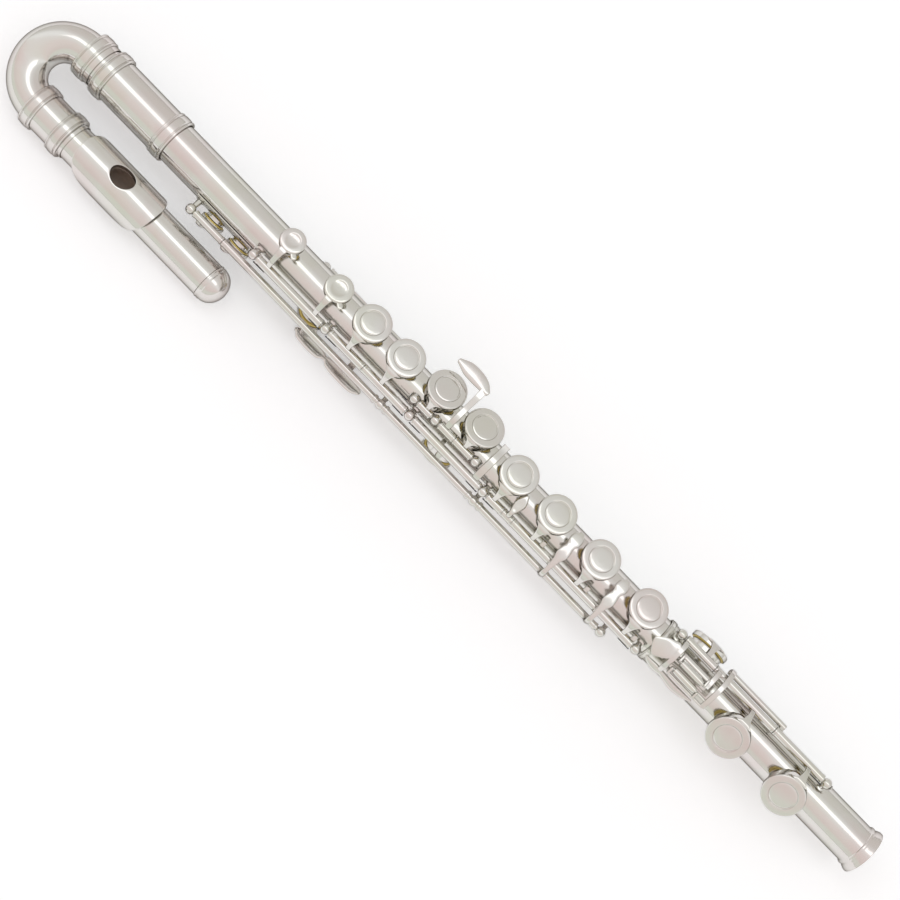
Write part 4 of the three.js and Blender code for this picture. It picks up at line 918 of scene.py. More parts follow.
plated(
    "mouthpiece_tube",
    "head_joint",
    [pipe(-1.6, 96.1, MOUTHPIECE_RADIUS, LEG)],
    cutters=[oval_cutter()],
    bore=(LEG, MOUTHPIECE_RADIUS - TUBE_WALL / 2),
)
make("plated_tenon", "tenon", [pipe(-6.2, TENON_END, TUBE_RADIUS)], stands_for=["head_tenon"])

# %% [markdown]
# The crown screws into the open end of the mouthpiece and turns the cork's screw. A dome is a
# quarter of an ellipse, which the lathe spins like any other profile.

# %% Crown
def crown():
    """The end cap: a threaded skirt inside the tube, a small rim and a dome."""
    start = 96.4
    rim_end = start + 2.2
    inside = start + 4.2
    skirt_low = start - 6
    skirt = MOUTHPIECE_RADIUS - TUBE_WALL - 0.2
    bore = skirt - 1.4
    profile = [(1.6, inside), (1.6, start), (bore, start), (bore, skirt_low), (skirt, skirt_low)]
    profile += [(skirt, start), (9.0, start), (9.0, start + 0.5), (8.75, start + 0.8)]
    profile += [(8.75, start + 1.2), (8.95, rim_end - 0.3)]
    angles = np.linspace(0, math.pi / 2, 14)
    dome = [(MOUTHPIECE_RADIUS * math.cos(a), rim_end + 7.4 * math.sin(a)) for a in angles]
    outside = rounded(profile, 0.15, steps=2) + dome[:-1] + [(0.0, dome[-1][1]), (0.0, inside)]
    return lying(turned(outside + [outside[0]], 96), LEG)


plated("crown", "crown_cap", [crown()])

# %% [markdown]
# The lip plate is an oval saddle, thin at its rim, that rests on a riser round the blowing hole. It
# is cut from sheet as a blunt oval and bent round the mouthpiece, so its outline is drawn on the
# cylinder. It is built as rings of points: out over the top, round the rim, back along the
# underside, down the riser and up through the hole.

# %% Lip plate
LIP_HALF_LENGTH = 22.4
LIP_SIDES = {"far": (100, 2.1), "near": (112, 2.6)}


def lip_ring(share, radius, sides=112):
    """Points part of the way from the hole's edge to the rim, on a cylinder round the mouthpiece."""
    ring = []
    for angle in around(sides):
        hole_turn = math.degrees(math.asin(EMBOUCHURE_WIDTH / 2 * math.sin(angle) / radius))
        reach, power = LIP_SIDES["far" if math.sin(angle) > 0 else "near"]
        along, aside = superellipse(angle, power)
        x = EMBOUCHURE_LENGTH / 2 * math.cos(angle) * (1 - share) + LIP_HALF_LENGTH * along * share
        turn = KEY_LINE + hole_turn * (1 - share) + reach * aside * share
        ring.append(mouth_spot(x, turn, 0, radius))
    return ring


def lip_plate():
    inner, outer = MOUTHPIECE_RADIUS + 1.7, MOUTHPIECE_RADIUS + 2.6
    riser_low, riser_wall = MOUTHPIECE_RADIUS - 0.1, 2.6
    stations = [(0.0, outer - 0.3), (0.008, outer - 0.1), (0.022, outer)]
    stations += [(share, outer) for share in np.linspace(0.06, 0.96, 20)]
    stations += [(0.985, outer - 0.05), (0.996, outer - 0.2), (1.0, outer - 0.45)]
    stations += [(0.996, inner + 0.12), (0.98, inner)]
    stations += [(share, inner) for share in np.linspace(0.9, 0.14, 10)]
    rings = [lip_ring(share, radius) for share, radius in stations]
    long, wide = EMBOUCHURE_LENGTH, EMBOUCHURE_WIDTH
    for grow, radius in ((riser_wall, inner), (riser_wall, riser_low), (0, riser_low)):
        rings.append(oval_ring(long + grow, wide + grow, radius, len(rings[0])))
    return lofted(rings, closed=True)


plated("lip_plate", "head_joint", [lip_plate()])

# %% [markdown]
# Posts carry the rods. Each is a turned ball on a stem with a flared foot, silver soldered to a
# long rib. The rib is a strip bent to the tube. Rods run through the balls, and their ends show as
# small round heads.

# %% Posts and the body rib
RIB_GAP, RIB_THICKNESS, RIB_MARGIN, FOOT_HALF = 0.3, 0.7, 2.5, 2.1
RIB_LOW, RIB_HIGH = TUBE_RADIUS + RIB_GAP, TUBE_RADIUS + RIB_GAP + RIB_THICKNESS
upper_post_at = c_sharp_at - SMALL_CUP * 1.41
left_post_at = c_touch_at + TOUCH_CUP * 1.2
middle_post_at = upper_g_at - G_CUP * 0.37
right_post_at = f_sharp_at - RIGHT_CUP * 0.63
lower_post_at = d_at + RIGHT_CUP
main_posts = (upper_post_at, left_post_at, middle_post_at, right_post_at, lower_post_at)
trill_top_at = d_sharp_trill_at - TRILL_CUP * 1.56
trill_upper_at = a_at + LEFT_CUP * 0.68
trill_end_at = d_at - RIGHT_CUP * 0.7
trill_posts = (trill_top_at, trill_upper_at, right_post_at, trill_end_at)
g_posts = (upper_g_at - G_CUP * 0.76, upper_g_at + G_CUP * 0.64, lower_g_at + G_CUP * 0.83)
foot_top_at = foot_start + POST_BALL + 3.1
foot_end_post_at = c_foot_at + FOOT_CUP * 1.05
NECK_RADIUS = 1.15


def post(x, rod, base=RIB_LOW):
    """A ball headed post standing at a rod."""
    radius = rod[0]
    top = base + RIB_THICKNESS
    low = top - 0.35
    neck = max(radius - POST_BALL * 0.8, top + 0.55)
    profile = [(0, low), (2.1, low), (2.1, top + 0.1), (1.35, top + 0.5), (NECK_RADIUS, neck)]
    start = math.asin(NECK_RADIUS / POST_BALL)
    for angle in np.linspace(math.pi - start, 0, 16):
        profile.append((POST_BALL * math.sin(angle), radius + POST_BALL * math.cos(angle)))
    profile[-1] = (0, radius + POST_BALL)
    return standing(turned(profile, 32), x, rod[1])


def screw_end(x, rod, way):
    """The head of a rod, sunk in its post."""
    head = turned(rounded(plug(1.25, 0, 0.45), 0.15), 24)
    spin = Matrix.Rotation(way * math.pi / 2, 4, "Y")
    return moved(head, Matrix.Translation(on_rod(rod, x)) @ spin)


def body_rib():
    start = upper_post_at - RIB_MARGIN
    shapes = [
        curved_plate(start, lower_post_at + RIB_MARGIN, RIB_LOW, RIB_HIGH, -79, -27),
        curved_plate(trill_top_at - RIB_MARGIN, start + 2, RIB_LOW, RIB_HIGH, -73, -54),
    ]
    for at in g_posts:
        shapes.append(curved_plate(at - FOOT_HALF, at + FOOT_HALF, RIB_LOW, RIB_HIGH, -39, -6))
    for rod, posts in ((MAIN_ROD, main_posts), (TRILL_ROD, trill_posts), (G_ROD, g_posts)):
        shapes += [post(at, rod) for at in posts]
    return shapes


plated("body_rib", "body_joint", body_rib())

# %% Ribs under the thumb and on the foot
THUMB_TOUCH_LENGTH, THUMB_LEVER_LENGTH, THUMB_TOUCH_GAP = 16.4, 20.4, 1.6
thumb_touch_at = thumb_at + THUMB_TOUCH_LENGTH * 0.51
thumb_lever_at = thumb_touch_at + THUMB_TOUCH_LENGTH / 2 + THUMB_TOUCH_GAP + THUMB_LEVER_LENGTH / 2
thumb_posts = (thumb_at - LEFT_CUP * 1.26, thumb_lever_at + THUMB_LEVER_LENGTH / 2 + POST_BALL)


def thumb_rib():
    low, high = thumb_posts
    plate = curved_plate(low - FOOT_HALF, high + FOOT_HALF, RIB_LOW, RIB_HIGH, 130, 154)
    return [plate, post(low, THUMB_ROD), post(high, THUMB_ROD)]


def foot_rib():
    step = SOCKET_RADIUS + SOCKET_WALL + RIB_GAP
    start, end = foot_top_at - FOOT_HALF, foot_end_post_at + RIB_MARGIN
    return [
        curved_plate(start, foot_socket_end + RIB_MARGIN, step, step + RIB_THICKNESS, 28, 46),
        curved_plate(foot_socket_end + 0.3, end, RIB_LOW, RIB_HIGH, 28, 46),
        post(foot_top_at, FOOT_ROD, step),
        post(foot_end_post_at, FOOT_ROD),
    ]


plated("thumb_rib", "body_joint", thumb_rib())
plated("foot_rib", "foot_joint", foot_rib())

# %% [markdown]
# A rod is steel wire, ground to run in the bore of its hinge tubes. Most of it is out of sight, and
# what shows is its two heads, sunk in the balls of the end posts.

# %% Rods
RODS = [
    ("c_sharp_rod", "body_joint", upper_post_at, left_post_at - 2, MAIN_ROD),
    ("main_rod", "body_joint", left_post_at - 0.9, lower_post_at, MAIN_ROD),
    ("g_rod", "body_joint", g_posts[0], g_posts[2], G_ROD),
    ("thumb_rod", "body_joint", *thumb_posts, THUMB_ROD),
    ("foot_rod", "foot_joint", foot_top_at, foot_end_post_at, FOOT_ROD),
]
SCREW_OUT = POST_BALL - 0.1
for node, body, start, end, line in RODS:
    ends = [screw_end(start - SCREW_OUT, line, -1), screw_end(end + SCREW_OUT, line, 1)]
    shapes = [rod_between(start, end, ROD_RADIUS, line), *ends]
    make("ground_" + node, body, shapes, STEEL, [node], "steel")

# %% [markdown]
# Needle springs hold every key open or shut. Each is a tapered needle of blued steel, driven into a
# post and lying along its rod, so it is a thin bar beside the hinge tube.

# %% Needle springs
SPRING_RADIUS, SPRING_LENGTH, SPRING_OFFSET = 0.32, 8.5, 2.75


def spring(post_at, rod, way):
    """A needle from a post along the near side of its rod. Way is down or up the tube."""
    middle = on_rod(rod) + spot(0, rod[1], -SPRING_OFFSET, 0)
    low, high = sorted((post_at + way * (POST_BALL - 0.5), post_at + way * SPRING_LENGTH))
    thick, thin = [SPRING_RADIUS, SPRING_RADIUS * 0.6][:: 1 if way > 0 else -1]
    profile = [(0, low), (thick, low), (thin, high), (0, high)]
    return lying(turned(rounded(profile, 0.1), 12), middle.y, middle.z)


body_springs = [spring(at, MAIN_ROD, way) for at in main_posts[1:4] for way in (-1, 1)]
body_springs += [spring(upper_post_at, MAIN_ROD, 1), spring(lower_post_at, MAIN_ROD, -1)]
body_springs += [spring(g_posts[0], G_ROD, -1)]
body_springs += [spring(trill_top_at, TRILL_ROD, 1), spring(trill_end_at, TRILL_ROD, -1)]
make("blued_body_springs", "body_joint", body_springs, BLUED, slot="steel")
foot_spring = spring(foot_end_post_at, FOOT_ROD, -1)
make("blued_foot_spring", "foot_joint", [foot_spring], BLUED, slot="steel")

# %% [markdown]
# Cups and pads. A cup is spun from sheet: a rounded rim, a band that slopes gently inwards, a fine
# groove, and a shallow disc that the finger finds. The two smallest are dimpled. Under each sits a
# pad, a little smaller than the cup, with the ring that its chimney has pressed into the skin.

# %% Cups, pads and cup arms
SEAT_GAP, PAD_THICKNESS, TRILL_PAD_THICKNESS, PAD_PROUD = 0.3, 2.4, 1.5, 0.9
CUP_WALL, CUP_TOP = 0.45, 0.7


def seat(rim, thickness):
    """Heights of pad and cup over a chimney, out from the tube's axis."""
    bottom = rim + SEAT_GAP
    ceiling = bottom + thickness + 0.1
    return {
        "bottom": bottom, "skirt": bottom + PAD_PROUD, "top": ceiling + CUP_TOP, "pad": thickness,
    }


SEAT = seat(RIM_TOP, PAD_THICKNESS)
TRILL_SEAT = seat(TRILL_RIM_TOP, TRILL_PAD_THICKNESS)

# %% Cup and pad
# Rows of a cup's top are shares of its radius and heights over its top.
CUP_EDGE = [(0, -0.75), (-0.12, -0.42), (-0.45, -0.16), (-0.95, -0.04)]
PLAIN_TOP = [
    (0.8, 0.03), (0.69, 0.06), (0.655, 0.02), (0.64, -0.3), (0.615, -0.42), (0.585, -0.3),
    (0.55, -0.16), (0.4, -0.04), (0.2, 0.05), (0, 0.07),
]
DIMPLED_TOP = [(0.66, 0.06), (0.56, 0.02), (0.48, -0.2), (0.36, -0.36), (0.2, -0.46), (0, -0.5)]


def cup(x, angle, radius, at=SEAT, crown_rows=PLAIN_TOP, solid_under=False):
    """A spun key cup. Its top is a band, a groove and a disc, or a dimple on the smallest."""
    top = at["top"]
    inside = radius - CUP_WALL
    ceiling = at["skirt"] + 0.4 if solid_under else top - CUP_TOP
    skirt = at["skirt"] - 0.35
    profile = [(0, ceiling), (inside, ceiling), (inside, skirt), (radius, skirt)]
    profile += [(radius + out, top + up) for out, up in CUP_EDGE]
    profile += [(radius * share, top + up) for share, up in crown_rows]
    return standing(turned(rounded(profile, 0.12, steps=2), 72), x, angle)


def pad(x, angle, cup_radius, at=SEAT):
    """A pad with the ring that its chimney has pressed into it."""
    radius = cup_radius - CUP_WALL - 0.15
    ring = cup_radius - HOLE_INSET + RIM_WALL / 2
    rows = [
        (0, 0.05), (ring - 1.0, 0.02), (ring - 0.5, 0.03), (ring, 0.16), (ring + 0.5, 0.03),
        (radius - 0.45, 0.02), (radius - 0.1, 0.2), (radius, 0.6), (radius, at["pad"]),
        (0, at["pad"]),
    ]
    profile = [(out, at["bottom"] + up) for out, up in rows]
    return standing(turned(rounded(profile, 0.1, steps=2), 64), x, angle)

# %% [markdown]
# An arm splays where it is soldered to the near edge of its cup. At its other end is a hinge tube,
# with a thin collar at each end that takes the wear. One function puts cup, arm and hinge tube
# together, because most keys are just that with something more.

# %% Cup arms, hinge tubes and whole keys
CUP_ARM_ROWS = [(0.02, 0.1, 0), (0.3, 0.55, 0), (0.7, 0.93, 0.3), (1, 1.02, 1)]


def cup_arm(x, angle, rod, radius, at=SEAT, splay=None):
    """The arm from a rod to the near edge of its cup, splayed where it meets the cup."""
    splay = radius * 0.75 if splay is None else splay
    apart = math.radians(rod[1] - angle)
    across, out = rod[0] * math.sin(apart), rod[0] * math.cos(apart)
    way = math.copysign(1, across)
    edge = way * (radius - CUP_WALL)
    top = at["top"] - 0.5 - ARM_THICKNESS / 4
    stations = []
    for across_share, out_share, wide in CUP_ARM_ROWS:
        sideways = across + (edge - across) * across_share
        middle = spot(x, angle, sideways, out + (top - out) * out_share)
        stations.append((middle, ARM_WIDTH + splay * wide, ARM_THICKNESS))
    return bar(stations, spot(0, angle, way, 1))


def hinge_tube(start, end, line, radius=HINGE_RADIUS):
    """A key's hinge tube with a thin collar at each end."""
    collar = radius + 0.18
    profile = [
        (0, start), (collar, start), (collar, start + 0.9), (radius, start + 1.05),
        (radius, end - 1.05), (collar, end - 0.9), (collar, end), (0, end),
    ]
    return on_line(profile, line, 0.12, 40, steps=2)


def key(name, body, shapes, rod, lift, pad_shape=None):
    """A key's metal in one, and its pad."""
    opened = (rod, lift) if lift else None
    plated(name if name.endswith("_lever") else name + "_key", body, shapes, opened=opened)
    if pad_shape:
        node = name + "_pad"
        make("skinned_" + node, body, [pad_shape], SKIN, [node], "pad_skin", opened)


def cover_key(name, x, angle, radius, line, ends, lift, *extras):
    """A key that is mainly a cup on an arm, with whatever else it carries."""
    shapes = [hinge_tube(*ends, line), cup(x, angle, radius), cup_arm(x, angle, line, radius)]
    key(name, name, shapes + list(extras), line, lift, pad(x, angle, radius))


def lug(x):
    """A lug on the hinge tube with its adjusting screw."""
    foot = on_rod(MAIN_ROD, x)
    tip = foot + Vector((0, 4.6, HINGE_RADIUS / 2))
    screw = [(0, -1.3), (0.55, -1.3), (0.55, 0.9), (1.0, 0.9), (1.0, 1.5), (0, 1.5)]
    head = turned(rounded(screw, 0.12), 24)
    arm = bar([(place, ARM_WIDTH, ARM_THICKNESS) for place in (foot, tip)], outward(0))
    return [arm, moved(head, Matrix.Translation(tip + Vector((0, -1.1, 0))))]

# %% [markdown]
# The keys, from the top of the body down. Those of one rod share it in turn: each hinge tube ends a
# hair from the next, or from a post.

# %% Keys of the main rod
def side_tab(x, radius):
    """The little tab at the edge of a dimpled cup, where its key's cork lands."""
    reach = radius + 1.3
    rows = ((0.5, -0.5), (0.78, -0.72))
    places = [spot(x + reach * a, KEY_LINE, reach * b, SEAT["top"] - 1.2) for a, b in rows]
    return bar([(place, 2.6, 1.1) for place in places], outward(KEY_LINE), 3, True)


def before(at):
    """Where a hinge tube ends before a post."""
    return at - POST_BALL - END_GAP


def after(at):
    """Where a hinge tube starts after a post."""
    return at + POST_BALL + END_GAP


small_splay = SMALL_CUP * 0.3
key(
    "c_sharp",
    "c_sharp",
    [
        hinge_tube(after(upper_post_at), before(left_post_at), MAIN_ROD),
        cup(c_sharp_at, KEY_LINE, SMALL_CUP, crown_rows=DIMPLED_TOP),
        side_tab(c_sharp_at, SMALL_CUP),
        cup_arm(c_sharp_at, KEY_LINE, MAIN_ROD, SMALL_CUP, splay=small_splay),
        cup(c_touch_at, KEY_LINE, TOUCH_CUP, crown_rows=DIMPLED_TOP, solid_under=True),
        side_tab(c_touch_at, TOUCH_CUP),
        cup_arm(c_touch_at, KEY_LINE, MAIN_ROD, TOUCH_CUP, splay=small_splay),
    ],
    MAIN_ROD,
    MAIN_LIFT,
    pad(c_sharp_at, KEY_LINE, SMALL_CUP),
)

# %% [markdown]
# These six keys share the main rod with two levers. Each tube's end is worked out from its
# neighbour's, so no two can overlap. The F, E and D keys have a lug with an adjusting screw, which
# lets them close the F sharp cup.

# %% Covered keys of the main rod
LUG_SHARE, SIDE_WIDTH = 0.56, 5.5 * 0.85
between_b_and_a = (b_flat_at + a_at) / 2
side_ends = (side_touch_at - SIDE_WIDTH * 0.6, side_touch_at + SIDE_WIDTH * 0.6)
b_flat_ends = (after(left_post_at), between_b_and_a)
a_ends = (between_b_and_a + END_GAP, before(middle_post_at))
f_sharp_ends = (after(right_post_at), side_ends[0] - END_GAP)
f_ends = (side_ends[1] + END_GAP, d_trill_touch_at)
e_ends = (f_ends[1] + END_GAP, d_sharp_trill_touch_at)
d_ends = (e_ends[1] + END_GAP, before(lower_post_at))
cover_key("b_flat", b_flat_at, KEY_LINE, LEFT_CUP, MAIN_ROD, b_flat_ends, MAIN_LIFT)
cover_key("a", a_at, KEY_LINE, LEFT_CUP, MAIN_ROD, a_ends, MAIN_LIFT)
cover_key("f_sharp", f_sharp_at, KEY_LINE, RIGHT_CUP, MAIN_ROD, f_sharp_ends, MAIN_LIFT)
for name, at, ends in (("f", f_at, f_ends), ("e", e_at, e_ends), ("d", d_at, d_ends)):
    screw_lug = lug(at + RIGHT_CUP * LUG_SHARE)
    cover_key(name, at, KEY_LINE, RIGHT_CUP, MAIN_ROD, ends, MAIN_LIFT, *screw_lug)

# %% [markdown]
# Two levers have no cup. The E mechanism's arm reaches over to the G cups, and the side B flat
# lever is a small pillow beside the F sharp cup, cut narrow at its tip to pass that cup when it is
# pressed.

# %% Levers of the main rod
E_LEVER_STAND, SIDE_STAND = 5.6, 5
E_LEVER_ROWS = [(-24, 1), (-8, 1), (12, 1), (30, 1), (42, 1.23)]
SIDE_ROWS = [(-28, 1.4, 0.5), (-18, 1.15, 0.9), (-8, 1, 1.25), (2, 0.98, 0.95), (9, 0.98, 0.45)]
e_lever = bent_arm(MAIN_ROD, e_lever_at, E_LEVER_STAND, F_SHARP_GAP / 2, ARM_THICKNESS, E_LEVER_ROWS)
e_lever_tube = hinge_tube(after(middle_post_at), before(right_post_at), MAIN_ROD)
key("e_mechanism_lever", "e_mechanism", [e_lever_tube, e_lever], MAIN_ROD, 0)
side_touch = bent_arm(
    MAIN_ROD, side_touch_at, SIDE_STAND, SIDE_WIDTH * 0.93, TOUCH_THICKNESS, SIDE_ROWS, PILLOW, True
)
key("side_b_flat_lever", "side_b_flat", [hinge_tube(*side_ends, MAIN_ROD), side_touch], MAIN_ROD, 0)

# %% [markdown]
# The G keys have their own short rod, offset towards the fingers. The G sharp key runs on the same
# rod: a stem lifts its long touch, shaped like a wing, beside the cups, and a thin arm dives under
# the main rod to a cup on the near side of the tube.

# %% G keys
g_ends = (after(g_posts[0]), before(g_posts[1]))
lower_g_ends = (g_sharp_arm_at + ARM_WIDTH + END_GAP, before(g_posts[2]))
cover_key("upper_g", upper_g_at, G_LINE, G_CUP, G_ROD, g_ends, G_LIFT)
cover_key("lower_g", lower_g_at, G_LINE, G_CUP, G_ROD, lower_g_ends, G_LIFT)

# %% [markdown]
# The G sharp key is the hardest to draw: a stem, a swept wing and an arm under the tube, each with
# its own rows, all on one hinge tube.

# %% G sharp key
G_SHARP_STAND, G_SHARP_LENGTH, G_SHARP_WIDTH, STEM_WIDTH = 16.3, 17.2, 6.9, 2.7
UNDER_STAND, UNDER_THICKNESS = RIB_GAP + RIB_THICKNESS + 0.35 + 0.45, 0.9
STEM_ROWS = [(9, 0.41), (32, 0.54), (46, 0.79, 1.1), (54, 0.97, 1.3)]
WING_ROWS = [
    (54, 0.06, 0.97, 0.5, 0.8),
    (57, -0.13, 1, 0.85, 0.9),
    (59, -0.38, 1, 1, 1),
    (59, -0.68, 1, 0.93, 0.9),
    (58, -0.95, 1, 0.4, 0.6),
]
UNDER_ROWS = [(-27, 1), (-42, 1), (-60, 1), (-76, 1.65), (-86, 2.8, 1.6), (-94, 3.6, 2.2)]
key(
    "g_sharp",
    "g_sharp",
    [
        hinge_tube(after(g_posts[1]), g_sharp_arm_at + ARM_WIDTH, G_ROD),
        bent_arm(G_ROD, g_stem_at, G_SHARP_STAND, STEM_WIDTH, ARM_THICKNESS, STEM_ROWS),
        leaf(
            g_stem_at, G_SHARP_LENGTH, G_SHARP_STAND, G_SHARP_WIDTH, TOUCH_THICKNESS, 12, WING_ROWS
        ),
        bent_arm(G_ROD, g_sharp_arm_at, UNDER_STAND, ARM_WIDTH, UNDER_THICKNESS, UNDER_ROWS),
        cup(g_sharp_at, G_SHARP_LINE, G_SHARP_CUP),
    ],
    G_ROD,
    0,
    pad(g_sharp_at, G_SHARP_LINE, G_SHARP_CUP),
)

# %% [markdown]
# The two trill keys share one line. The D sharp key's shaft runs inside the D key's long tube,
# which is why that line is so slim. Their rounded touches come up between the right hand's cups,
# and their small cups close on the near side. Collars are soldered on the tube on both sides of the
# two posts that it passes.

# %% Trill keys
TRILL_ROWS = [
    (-63, 1.14, 0.46, 0.6),
    (-52, 1.48, 0.4, 0.6),
    (-43, 1.72, 0.4, 0.6),
    (-33, 1.52, 0.4, 0.65),
    (-21, 1.27, 0.6, 0.8),
    (-13, 1.15, 0.95, 0.9),
    (-4, 1.06, 0.85, 0.9),
    (3, 1.01, 0.7, 0.9),
    (12, 0.99, 1, 1),
    (21, 1, 0.9, 0.9),
    (26, 1.02, 0.5, 0.6),
]


TRILL_STAND, TRILL_TOUCH_WIDTH = 7.7, 9 * 0.65
COLLAR_RADIUS, COLLAR_HALF, COLLAR_AWAY = 2.15, 0.8, 3.5


def trill_touch(x):
    return bent_arm(
        TRILL_ROD, x, TRILL_STAND, TRILL_TOUCH_WIDTH, TOUCH_THICKNESS, TRILL_ROWS, PILLOW, True
    )


def trill_cup_arm(x, cup_at):
    """The arm from the trill rod over the rib and down to its cup."""
    stations = [
        (on_rod(TRILL_ROD, x), ARM_WIDTH, ARM_THICKNESS),
        (over(x, TRILL_ROD[1] - 7, 8.3), ARM_WIDTH, ARM_THICKNESS),
        (over((x + cup_at) / 2, TRILL_LINE + 14, 7.07), ARM_WIDTH, ARM_THICKNESS),
        (spot(cup_at, TRILL_LINE + 1, 0, TRILL_SEAT["top"]), ARM_WIDTH * 1.6, ARM_THICKNESS),
    ]
    return bar(stations, outward((TRILL_ROD[1] + TRILL_LINE) / 2))


def trill_key(name, x, arm_at, touch_at, tubes):
    """A trill key: its tubes, its small cup and arm, and its touch."""
    cup_parts = [cup(x, TRILL_LINE, TRILL_CUP, TRILL_SEAT), trill_cup_arm(arm_at, x)]
    shapes = [*tubes, *cup_parts, trill_touch(touch_at)]
    key(name, name, shapes, TRILL_ROD, 0, pad(x, TRILL_LINE, TRILL_CUP, TRILL_SEAT))


d_sharp_arm_at = d_sharp_trill_at - TRILL_CUP * 0.47
d_arm_at = d_trill_at - TRILL_CUP * 0.54
tube_past = ARM_WIDTH * 0.7
d_trill_ends = (d_arm_at - tube_past, d_trill_touch_at + tube_past)
collars = [
    rod_between(at - COLLAR_HALF, at + COLLAR_HALF, COLLAR_RADIUS, TRILL_ROD, edge=0.4)
    for at in (post_at + side * COLLAR_AWAY for post_at in trill_posts[1:3] for side in (-1, 1))
]
d_trill_tube = hinge_tube(*d_trill_ends, TRILL_ROD, TRILL_HINGE_RADIUS)
trill_key("d_trill", d_trill_at, d_arm_at, d_trill_touch_at, [d_trill_tube, *collars])
d_sharp_tubes = [
    rod_between(trill_top_at - 1.2, trill_end_at + 1.2, ROD_RADIUS, TRILL_ROD),
    hinge_tube(after(trill_top_at), d_trill_ends[0] - END_GAP, TRILL_ROD, TRILL_HINGE_RADIUS),
    hinge_tube(d_trill_ends[1] + END_GAP, before(trill_end_at), TRILL_ROD, TRILL_HINGE_RADIUS),
]
trill_key("d_sharp_trill", d_sharp_trill_at, d_sharp_arm_at, d_sharp_trill_touch_at, d_sharp_tubes)

# %% [markdown]
# Under the tube are the thumb's two touches, side by side. The B touch grows out of its own cup,
# and the B flat lever reaches its touch by an arm that hugs the tube.

# %% Thumb keys
THUMB_STAND, THUMB_WIDTH, THUMB_THICKNESS = 10.3, 7, 1.7
THUMB_ROWS = [(-0.5, 0.4), (-0.36, 0.86), (0, 1), (0.36, 0.9), (0.5, 0.45)]


def thumb_plate(x, length):
    rows = [(THUMB_TOUCH_LINE, along, 1, wide, 1) for along, wide in THUMB_ROWS]
    return leaf(x, length, THUMB_STAND, THUMB_WIDTH, THUMB_THICKNESS, THUMB_LINE, rows)


thumb_middle = (thumb_touch_at + thumb_lever_at) / 2
neck_start = spot(thumb_at + LEFT_CUP / 3, THUMB_LINE, LEFT_CUP * 0.8, SEAT["top"] - ARM_THICKNESS)
neck_end = over(thumb_at + LEFT_CUP * 0.7, THUMB_TOUCH_LINE, THUMB_STAND)
neck = [(neck_start, LEFT_CUP * 0.8, ARM_THICKNESS), (neck_end, LEFT_CUP * 0.9, ARM_THICKNESS)]
cover_key(
    "thumb_b",
    thumb_at,
    THUMB_LINE,
    LEFT_CUP,
    THUMB_ROD,
    (after(thumb_posts[0]), thumb_middle),
    THUMB_LIFT,
    thumb_plate(thumb_touch_at, THUMB_TOUCH_LENGTH),
    bar(neck, outward(THUMB_LINE)),
)
LEVER_ROWS = [(160, 0.456), (185, 0.34), (210, 0.32), (232, 0.553), (246, 0.96)]
key(
    "thumb_b_flat_lever",
    "thumb_b_flat",
    [
        hinge_tube(thumb_middle + END_GAP, before(thumb_posts[1]), THUMB_ROD),
        thumb_plate(thumb_lever_at, THUMB_LEVER_LENGTH),
        bent_arm(THUMB_ROD, thumb_lever_at, THUMB_STAND, ARM_WIDTH * 1.4, ARM_THICKNESS, LEVER_ROWS),
    ],
    THUMB_ROD,
    THUMB_LIFT,
)

# %% [markdown]
# The little finger's cluster on the foot joint: a crescent touch for D sharp, and two rollers that
# let the finger slide between the C sharp and C touches. Each roller turns on an axle between two
# lugs.

# %% Rollers and their frames
ROLLER_LENGTH, ROLLER_RADIUS, ROLLER_STAND, AXLE_RADIUS, LUG_THICKNESS = 12.8, 1.7, 6.5, 0.7, 1.4
C_SHARP_ROLLER = (TUBE_RADIUS + ROLLER_STAND, -1.4)
C_ROLLER = (TUBE_RADIUS + ROLLER_STAND, -16.2)
FOOT_BAR = (TUBE_RADIUS + 6.7, 52)
d_sharp_foot_arm_at = foot_top_at + POST_BALL + END_GAP + ARM_WIDTH / 2
roller_start = d_sharp_foot_arm_at + ARM_WIDTH / 2 + 2 * END_GAP + LUG_THICKNESS + END_GAP
roller_end = roller_start + ROLLER_LENGTH
c_sharp_arm_at = roller_end + END_GAP + LUG_THICKNESS / 2 + ARM_WIDTH / 2
c_arm_at = c_sharp_arm_at + ARM_WIDTH + 2.2
bar_end_at = c_sharp_foot_at + FOOT_CUP + 4.6


def roller(line):
    """A crowned roller, hollow for its axle."""
    profile = [(AXLE_RADIUS + 0.1, roller_start)]
    for t in np.linspace(0, 1, 13):
        crowned = ROLLER_RADIUS * (1 - 0.16 * (2 * t - 1) ** 4)
        profile.append((crowned, roller_start + 0.15 + (ROLLER_LENGTH - 0.3) * t))
    profile.append((AXLE_RADIUS + 0.1, roller_end))
    return on_line(profile, line, 0.1, 36, steps=2, closed=True)


def roller_frame(line, edge_angle, width, end):
    """An axle between two lugs that stand on a strip."""
    edge = (line[0], edge_angle)
    left = roller_start - END_GAP - LUG_THICKNESS / 2
    right = roller_end + END_GAP + LUG_THICKNESS / 2
    shapes = [rod_between(left, end, AXLE_RADIUS, line, sides=20)]
    for x in (left, right):
        stations = [(on_rod(r, x), LUG_THICKNESS, ARM_THICKNESS * 2) for r in (line, edge)]
        shapes.append(bar(stations, outward(0), 3, True))
    strip = [(on_rod(edge, x), width, ARM_THICKNESS) for x in (left + 0.4, end)]
    shapes.append(bar(strip, outward(edge_angle), PILLOW, True))
    return shapes

# %% [markdown]
# The D sharp touch is a plate and a crescent in one piece, cast and filed. Both are leaves here.
# The plate stops short of the roller frame, which comes down beside it.

